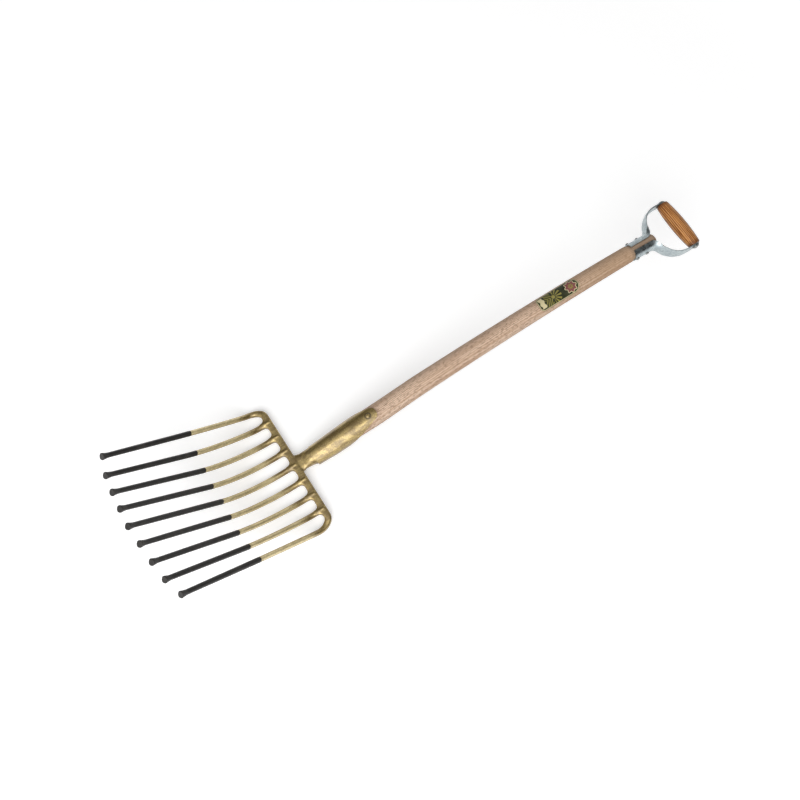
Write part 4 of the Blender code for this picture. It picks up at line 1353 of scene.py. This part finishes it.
def yoke_path(t):
    """The bow of a yoke arm from the crotch (t = 0) to the eye's shoulder (t = 1)."""
    nodes = ((YOKE_MID_RADIUS, -YOKE_CROTCH_TO_GRIP),
             (YOKE_MID_RADIUS, -YOKE_CROTCH_TO_GRIP + CROTCH_HANDLE),
             (BOW_HANDLE_OUT, -BOW_HANDLE_TO_GRIP),
             (EYE_MID, -EYE_SHOULDER_TO_GRIP))
    return bezier(nodes, t)


def yoke_row(place, heading, half_depth, crown, side):
    """Points across the arm: an arc of the given depth and crown, hollow towards the inside."""
    inward = Vector((-heading.y, heading.x))
    half_angle = 2.0 * math.atan2(crown, half_depth)
    radius = half_depth / math.sin(half_angle)
    base = grip_frame()
    row = []
    for angle in spread(-half_angle, half_angle, ARM_COLUMNS):
        point = place + inward * (radius * (1.0 - math.cos(angle)))
        row.append(base @ Vector((side * point.x, point.y, radius * math.sin(angle))))
    return row


def yoke_rows(side):
    """Rows of points up one arm: the shell round the spigot, the bow, and the round eye."""
    shell = (YOKE_MID_RADIUS * math.sin(YOKE_WRAP), YOKE_MID_RADIUS * (1.0 - math.cos(YOKE_WRAP)))
    bow = (BOW_HALF_DEPTH, BOW_CROWN)
    eye = (EYE_HALF_DEPTH, EYE_CROWN)
    ahead = Vector((0.0, 1.0))
    rows = []
    for y in spread(-YOKE_FOOT_TO_GRIP, -YOKE_CROTCH_TO_GRIP, SHELL_ROWS)[:-1]:
        rows.append(yoke_row(Vector((YOKE_MID_RADIUS, y)), ahead, *shell, side))
    for t in spread(0.0, 1.0, BOW_ROWS):
        if t < BOW_BLEND_END:
            start, end, part = shell, bow, smooth(0.0, BOW_BLEND_END, t)
        else:
            start, end, part = bow, eye, (t - BOW_BLEND_END) / (1.0 - BOW_BLEND_END)
        depth, crown = (between(a, b, part) for a, b in zip(start, end))
        rows.append(yoke_row(*yoke_path(t), depth, crown, side))
    for turn in quarter_turn(EYE_ROWS, EYE_ROWS + 0.6):
        place = Vector((EYE_MID, EYE_HALF_DEPTH * math.sin(turn)))
        depth, crown = (size * math.cos(turn) for size in eye)
        rows.append(yoke_row(place, ahead, depth, crown, side))
    return rows


class FORK_OT_yoke(bpy.types.Operator):
    """Adds the two pressed arms of the D grip"""

    bl_idname = "fork.yoke"
    bl_label = "Yoke arms"

    def execute(self, context):
        finish = zinc(context.scene)
        for name, side in SIDES:
            item = surface("pressed_arm_" + name, yoke_rows(side), finish, flip=side < 0.0)
            wall(item, YOKE_WALL, 0.0)
            soften(item, ARM_EDGE, 2)
            settle(frozen(item), "yoke_arm_" + name)
        return {"FINISHED"}


class FORK_OT_grip(bpy.types.Operator):
    """Adds the turned hand grip"""

    bl_idname = "fork.grip"
    bl_label = "Hand grip"

    def execute(self, context):
        body = GRIP_HALF_LENGTH - GRIP_END_ROUND
        rounding = [(ROD_RADIUS, -GRIP_HALF_LENGTH)]
        for angle in quarter_turn(GRIP_EDGE_ROWS):
            rounding.append((GRIP_END_RADIUS - GRIP_END_ROUND * (1.0 - math.sin(angle)),
                             -body - GRIP_END_ROUND * math.cos(angle)))
        profile = rounding[:]
        for along in spread(-1.0, 1.0, GRIP_ROWS, 1):
            swell = between(GRIP_END_RADIUS, GRIP_MIDDLE_RADIUS, 1.0 - along * along)
            profile.append((swell, body * along))
        profile += [(radius, -along) for radius, along in reversed(rounding[:-1])]
        finish = varnished_wood(context.scene.fork_grip)
        item = turned("turned_grip", profile, grip_frame(), finish, GRIP_SIDES)
        back = grip_frame().inverted()
        grain = [part for vertex in item.data.vertices for part in back @ vertex.co]
        store(item.data, "grain", "FLOAT_VECTOR", grain)
        settle(item, "hand_grip")
        return {"FINISHED"}


# Rivets and washers

def rivet_profile(shank, head, low, high):
    """Half the outline of a rivet with a hammered, domed head at each end."""
    upper = [(head * 0.10, high + RIVET_HEAD_HEIGHT)]
    upper += [(head * math.sin(angle), high + RIVET_HEAD_HEIGHT * math.cos(angle) ** 0.8)
              for angle in quarter_turn(HEAD_ROWS, first=1)]
    upper.append((head * 0.96, high - SEAT_GAP / 2.0))
    lower = [(radius, low + high - along) for radius, along in reversed(upper)]
    return upper + [(shank, high), (shank, low)] + lower


class FORK_OT_rivets(bpy.types.Operator):
    """Adds the rivets, the grip's rod and its two washers"""

    bl_idname = "fork.rivets"
    bl_label = "Rivets and washers"

    def execute(self, context):
        grip = grip_frame()
        finish = steel(context.scene)
        wood = shaft_radius(SOCKET_RIVET_STATION)
        front = wood + SOCKET_CLEARANCE + SOCKET_WALL + SEAT_GAP
        place = station_frame(SOCKET_RIVET_STATION) @ Matrix.Rotation(-TURN / 4.0, 4, "Y")
        back = -wood - SEAT_GAP
        profile = rivet_profile(SOCKET_RIVET_RADIUS, SOCKET_RIVET_HEAD_RADIUS, back, front)
        settle(turned("socket_rivet_set", profile, place, gold(context.scene)), "socket_rivet")
        seat = YOKE_OUTER_RADIUS + SEAT_GAP
        profile = rivet_profile(YOKE_RIVET_RADIUS, YOKE_RIVET_HEAD_RADIUS, -seat, seat)
        for name, distance in zip(("lower", "upper"), YOKE_RIVETS_TO_GRIP):
            place = grip @ Matrix.Translation((0.0, -distance, 0.0))
            settle(turned("yoke_rivet_set_" + name, profile, place, finish), "yoke_rivet_" + name)
        inner = EYE_OUTER + SEAT_GAP
        outer = inner + WASHER_THICKNESS
        seat = outer + SEAT_GAP
        profile = rivet_profile(ROD_RADIUS, ROD_HEAD_RADIUS, -seat, seat)
        settle(turned("grip_rod_set", profile, grip, finish), "grip_rod")
        edge = WASHER_THICKNESS * 0.2
        ring = [(ROD_RADIUS, inner), (WASHER_RADIUS - edge, inner), (WASHER_RADIUS, inner + edge),
                (WASHER_RADIUS, outer - edge), (WASHER_RADIUS - edge, outer), (ROD_RADIUS, outer)]
        for name, side in SIDES:
            profile = [(radius, side * along) for radius, along in ring]
            item = turned("washer_" + name, profile, grip, zinc(context.scene))
            settle(item, "grip_washer_" + name)
        return {"FINISHED"}


# Stage

def floor_material(settings):
    """A white floor that keeps the object's shadow; only its look is lit up, not the object."""
    net = Finish("floor_finish")
    path = net.node("ShaderNodeLightPath").outputs
    seen = net.math("MAXIMUM", path["Is Camera Ray"], path["Is Glossy Ray"])
    seen = net.math("MAXIMUM", seen, path["Is Transmission Ray"])
    tone = net.mix(seen, settings.bounce, settings.floor)
    away = net.out("ShaderNodeVectorMath", {0: net.place()}, "Value", operation="LENGTH")
    far = net.ramp(away, *FAR_FLOOR, 0.0, FAR_FLOOR_GLOW)
    glow = net.times(seen, net.math("ADD", settings.glow, far))
    return net.done(Base_Color=tone, Roughness=1.0, Specular_IOR_Level=0.0,
                    Emission_Color=(1.0, 1.0, 1.0), Emission_Strength=glow)


def make_sky(settings):
    """Even light, brighter from the front right, with a dark screen behind and a pale one left."""
    world = bpy.data.worlds.new("studio_sky")
    bpy.context.scene.world = world
    world.use_nodes = True
    net = Net(world.node_tree)
    view = net.out("ShaderNodeTexCoord", output="Generated")

    def facing(direction, low, high, start, end):
        inputs = {0: view, 1: Vector(direction).normalized()}
        toward = net.out("ShaderNodeVectorMath", inputs, "Value", operation="DOT_PRODUCT")
        return net.ramp(toward, low, high, start, end)

    level = facing(*SKY_LIGHT)
    level = net.times(level, facing(*SKY_DARK_SCREEN))
    level = net.math("ADD", level, facing(*SKY_PALE_SCREEN))
    level = net.times(level, settings.sky)
    seen = net.out("ShaderNodeLightPath", output="Is Camera Ray")
    back = net.tree.nodes["Background"].inputs
    net.put(back["Strength"], net.out("ShaderNodeMix", {0: seen, 2: level, 3: 1.0}))
    net.put(back["Color"], (1.0, 1.0, 1.0))


def area_light(name, place, target, size, power):
    data = bpy.data.lights.new(name, "AREA")
    data.shape = "DISK"
    data.size = size
    data.energy = power
    item = add_object(name, data)
    item.location = place
    item.rotation_euler = (Vector(target) - Vector(place)).to_track_quat("-Z", "Y").to_euler()


class FORK_OT_stage(bpy.types.Operator):
    """Adds the floor, the lights and the camera of the photograph"""

    bl_idname = "fork.stage"
    bl_label = "Stage"

    def execute(self, context):
        settings = context.scene.fork_stage
        mesh = bpy.data.meshes.new("floor")
        corners = ((-1.0, -1.0), (1.0, -1.0), (1.0, 1.0), (-1.0, 1.0))
        places = [(FLOOR_REACH * x, FLOOR_REACH * y, 0.0) for x, y in corners]
        mesh.from_pydata(places, [], [(0, 1, 2, 3)])
        add_object("floor", mesh, floor_material(settings))
        make_sky(settings)
        area_light("key", KEY_PLACE, (0.0, 0.0, 0.0), KEY_SIZE, settings.key)
        area_light("fill", FILL_PLACE, (0.0, 0.1, 0.0), FILL_SIZE, settings.fill)
        data = bpy.data.cameras.new("photo_camera")
        data.lens = CAMERA_LENS
        data.sensor_width = CAMERA_SENSOR
        camera = add_object("photo_camera", data)
        camera.location = CAMERA_PLACE
        camera.rotation_euler = CAMERA_TURN
        context.scene.camera = camera
        context.scene.view_settings.view_transform = "Standard"
        return {"FINISHED"}


OPERATORS = (FORK_OT_forging, FORK_OT_tines, FORK_OT_socket, FORK_OT_shaft, FORK_OT_label,
             FORK_OT_yoke, FORK_OT_grip, FORK_OT_rivets, FORK_OT_stage)


class FORK_PT_pieces(bpy.types.Panel):
    """Lists the pieces of the fork and their settings"""

    bl_idname = "FORK_PT_pieces"
    bl_label = "Ballast fork"
    bl_space_type = "VIEW_3D"
    bl_region_type = "UI"
    bl_category = "Fork"

    def draw(self, context):
        for operator in OPERATORS:
            self.layout.operator(operator.bl_idname)
        for name, group in SETTINGS:
            box = self.layout.box()
            for key in group.__annotations__:
                box.prop(getattr(context.scene, name), key)


def register():
    for name, group in SETTINGS:
        bpy.utils.register_class(group)
        setattr(bpy.types.Scene, name, bpy.props.PointerProperty(type=group))
    for operator in OPERATORS:
        bpy.utils.register_class(operator)
    bpy.utils.register_class(FORK_PT_pieces)


def unregister():
    bpy.utils.unregister_class(FORK_PT_pieces)
    for operator in reversed(OPERATORS):
        bpy.utils.unregister_class(operator)
    for name, group in reversed(SETTINGS):
        delattr(bpy.types.Scene, name)
        bpy.utils.unregister_class(group)


def main():
    register()
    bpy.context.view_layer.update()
    bpy.ops.fork.forging()
    bpy.ops.fork.tines()
    bpy.ops.fork.socket()
    bpy.ops.fork.shaft()
    bpy.ops.fork.label()
    bpy.ops.fork.yoke()
    bpy.ops.fork.grip()
    bpy.ops.fork.rivets()
    bpy.ops.fork.stage()


if __name__ == "__main__":
    main()
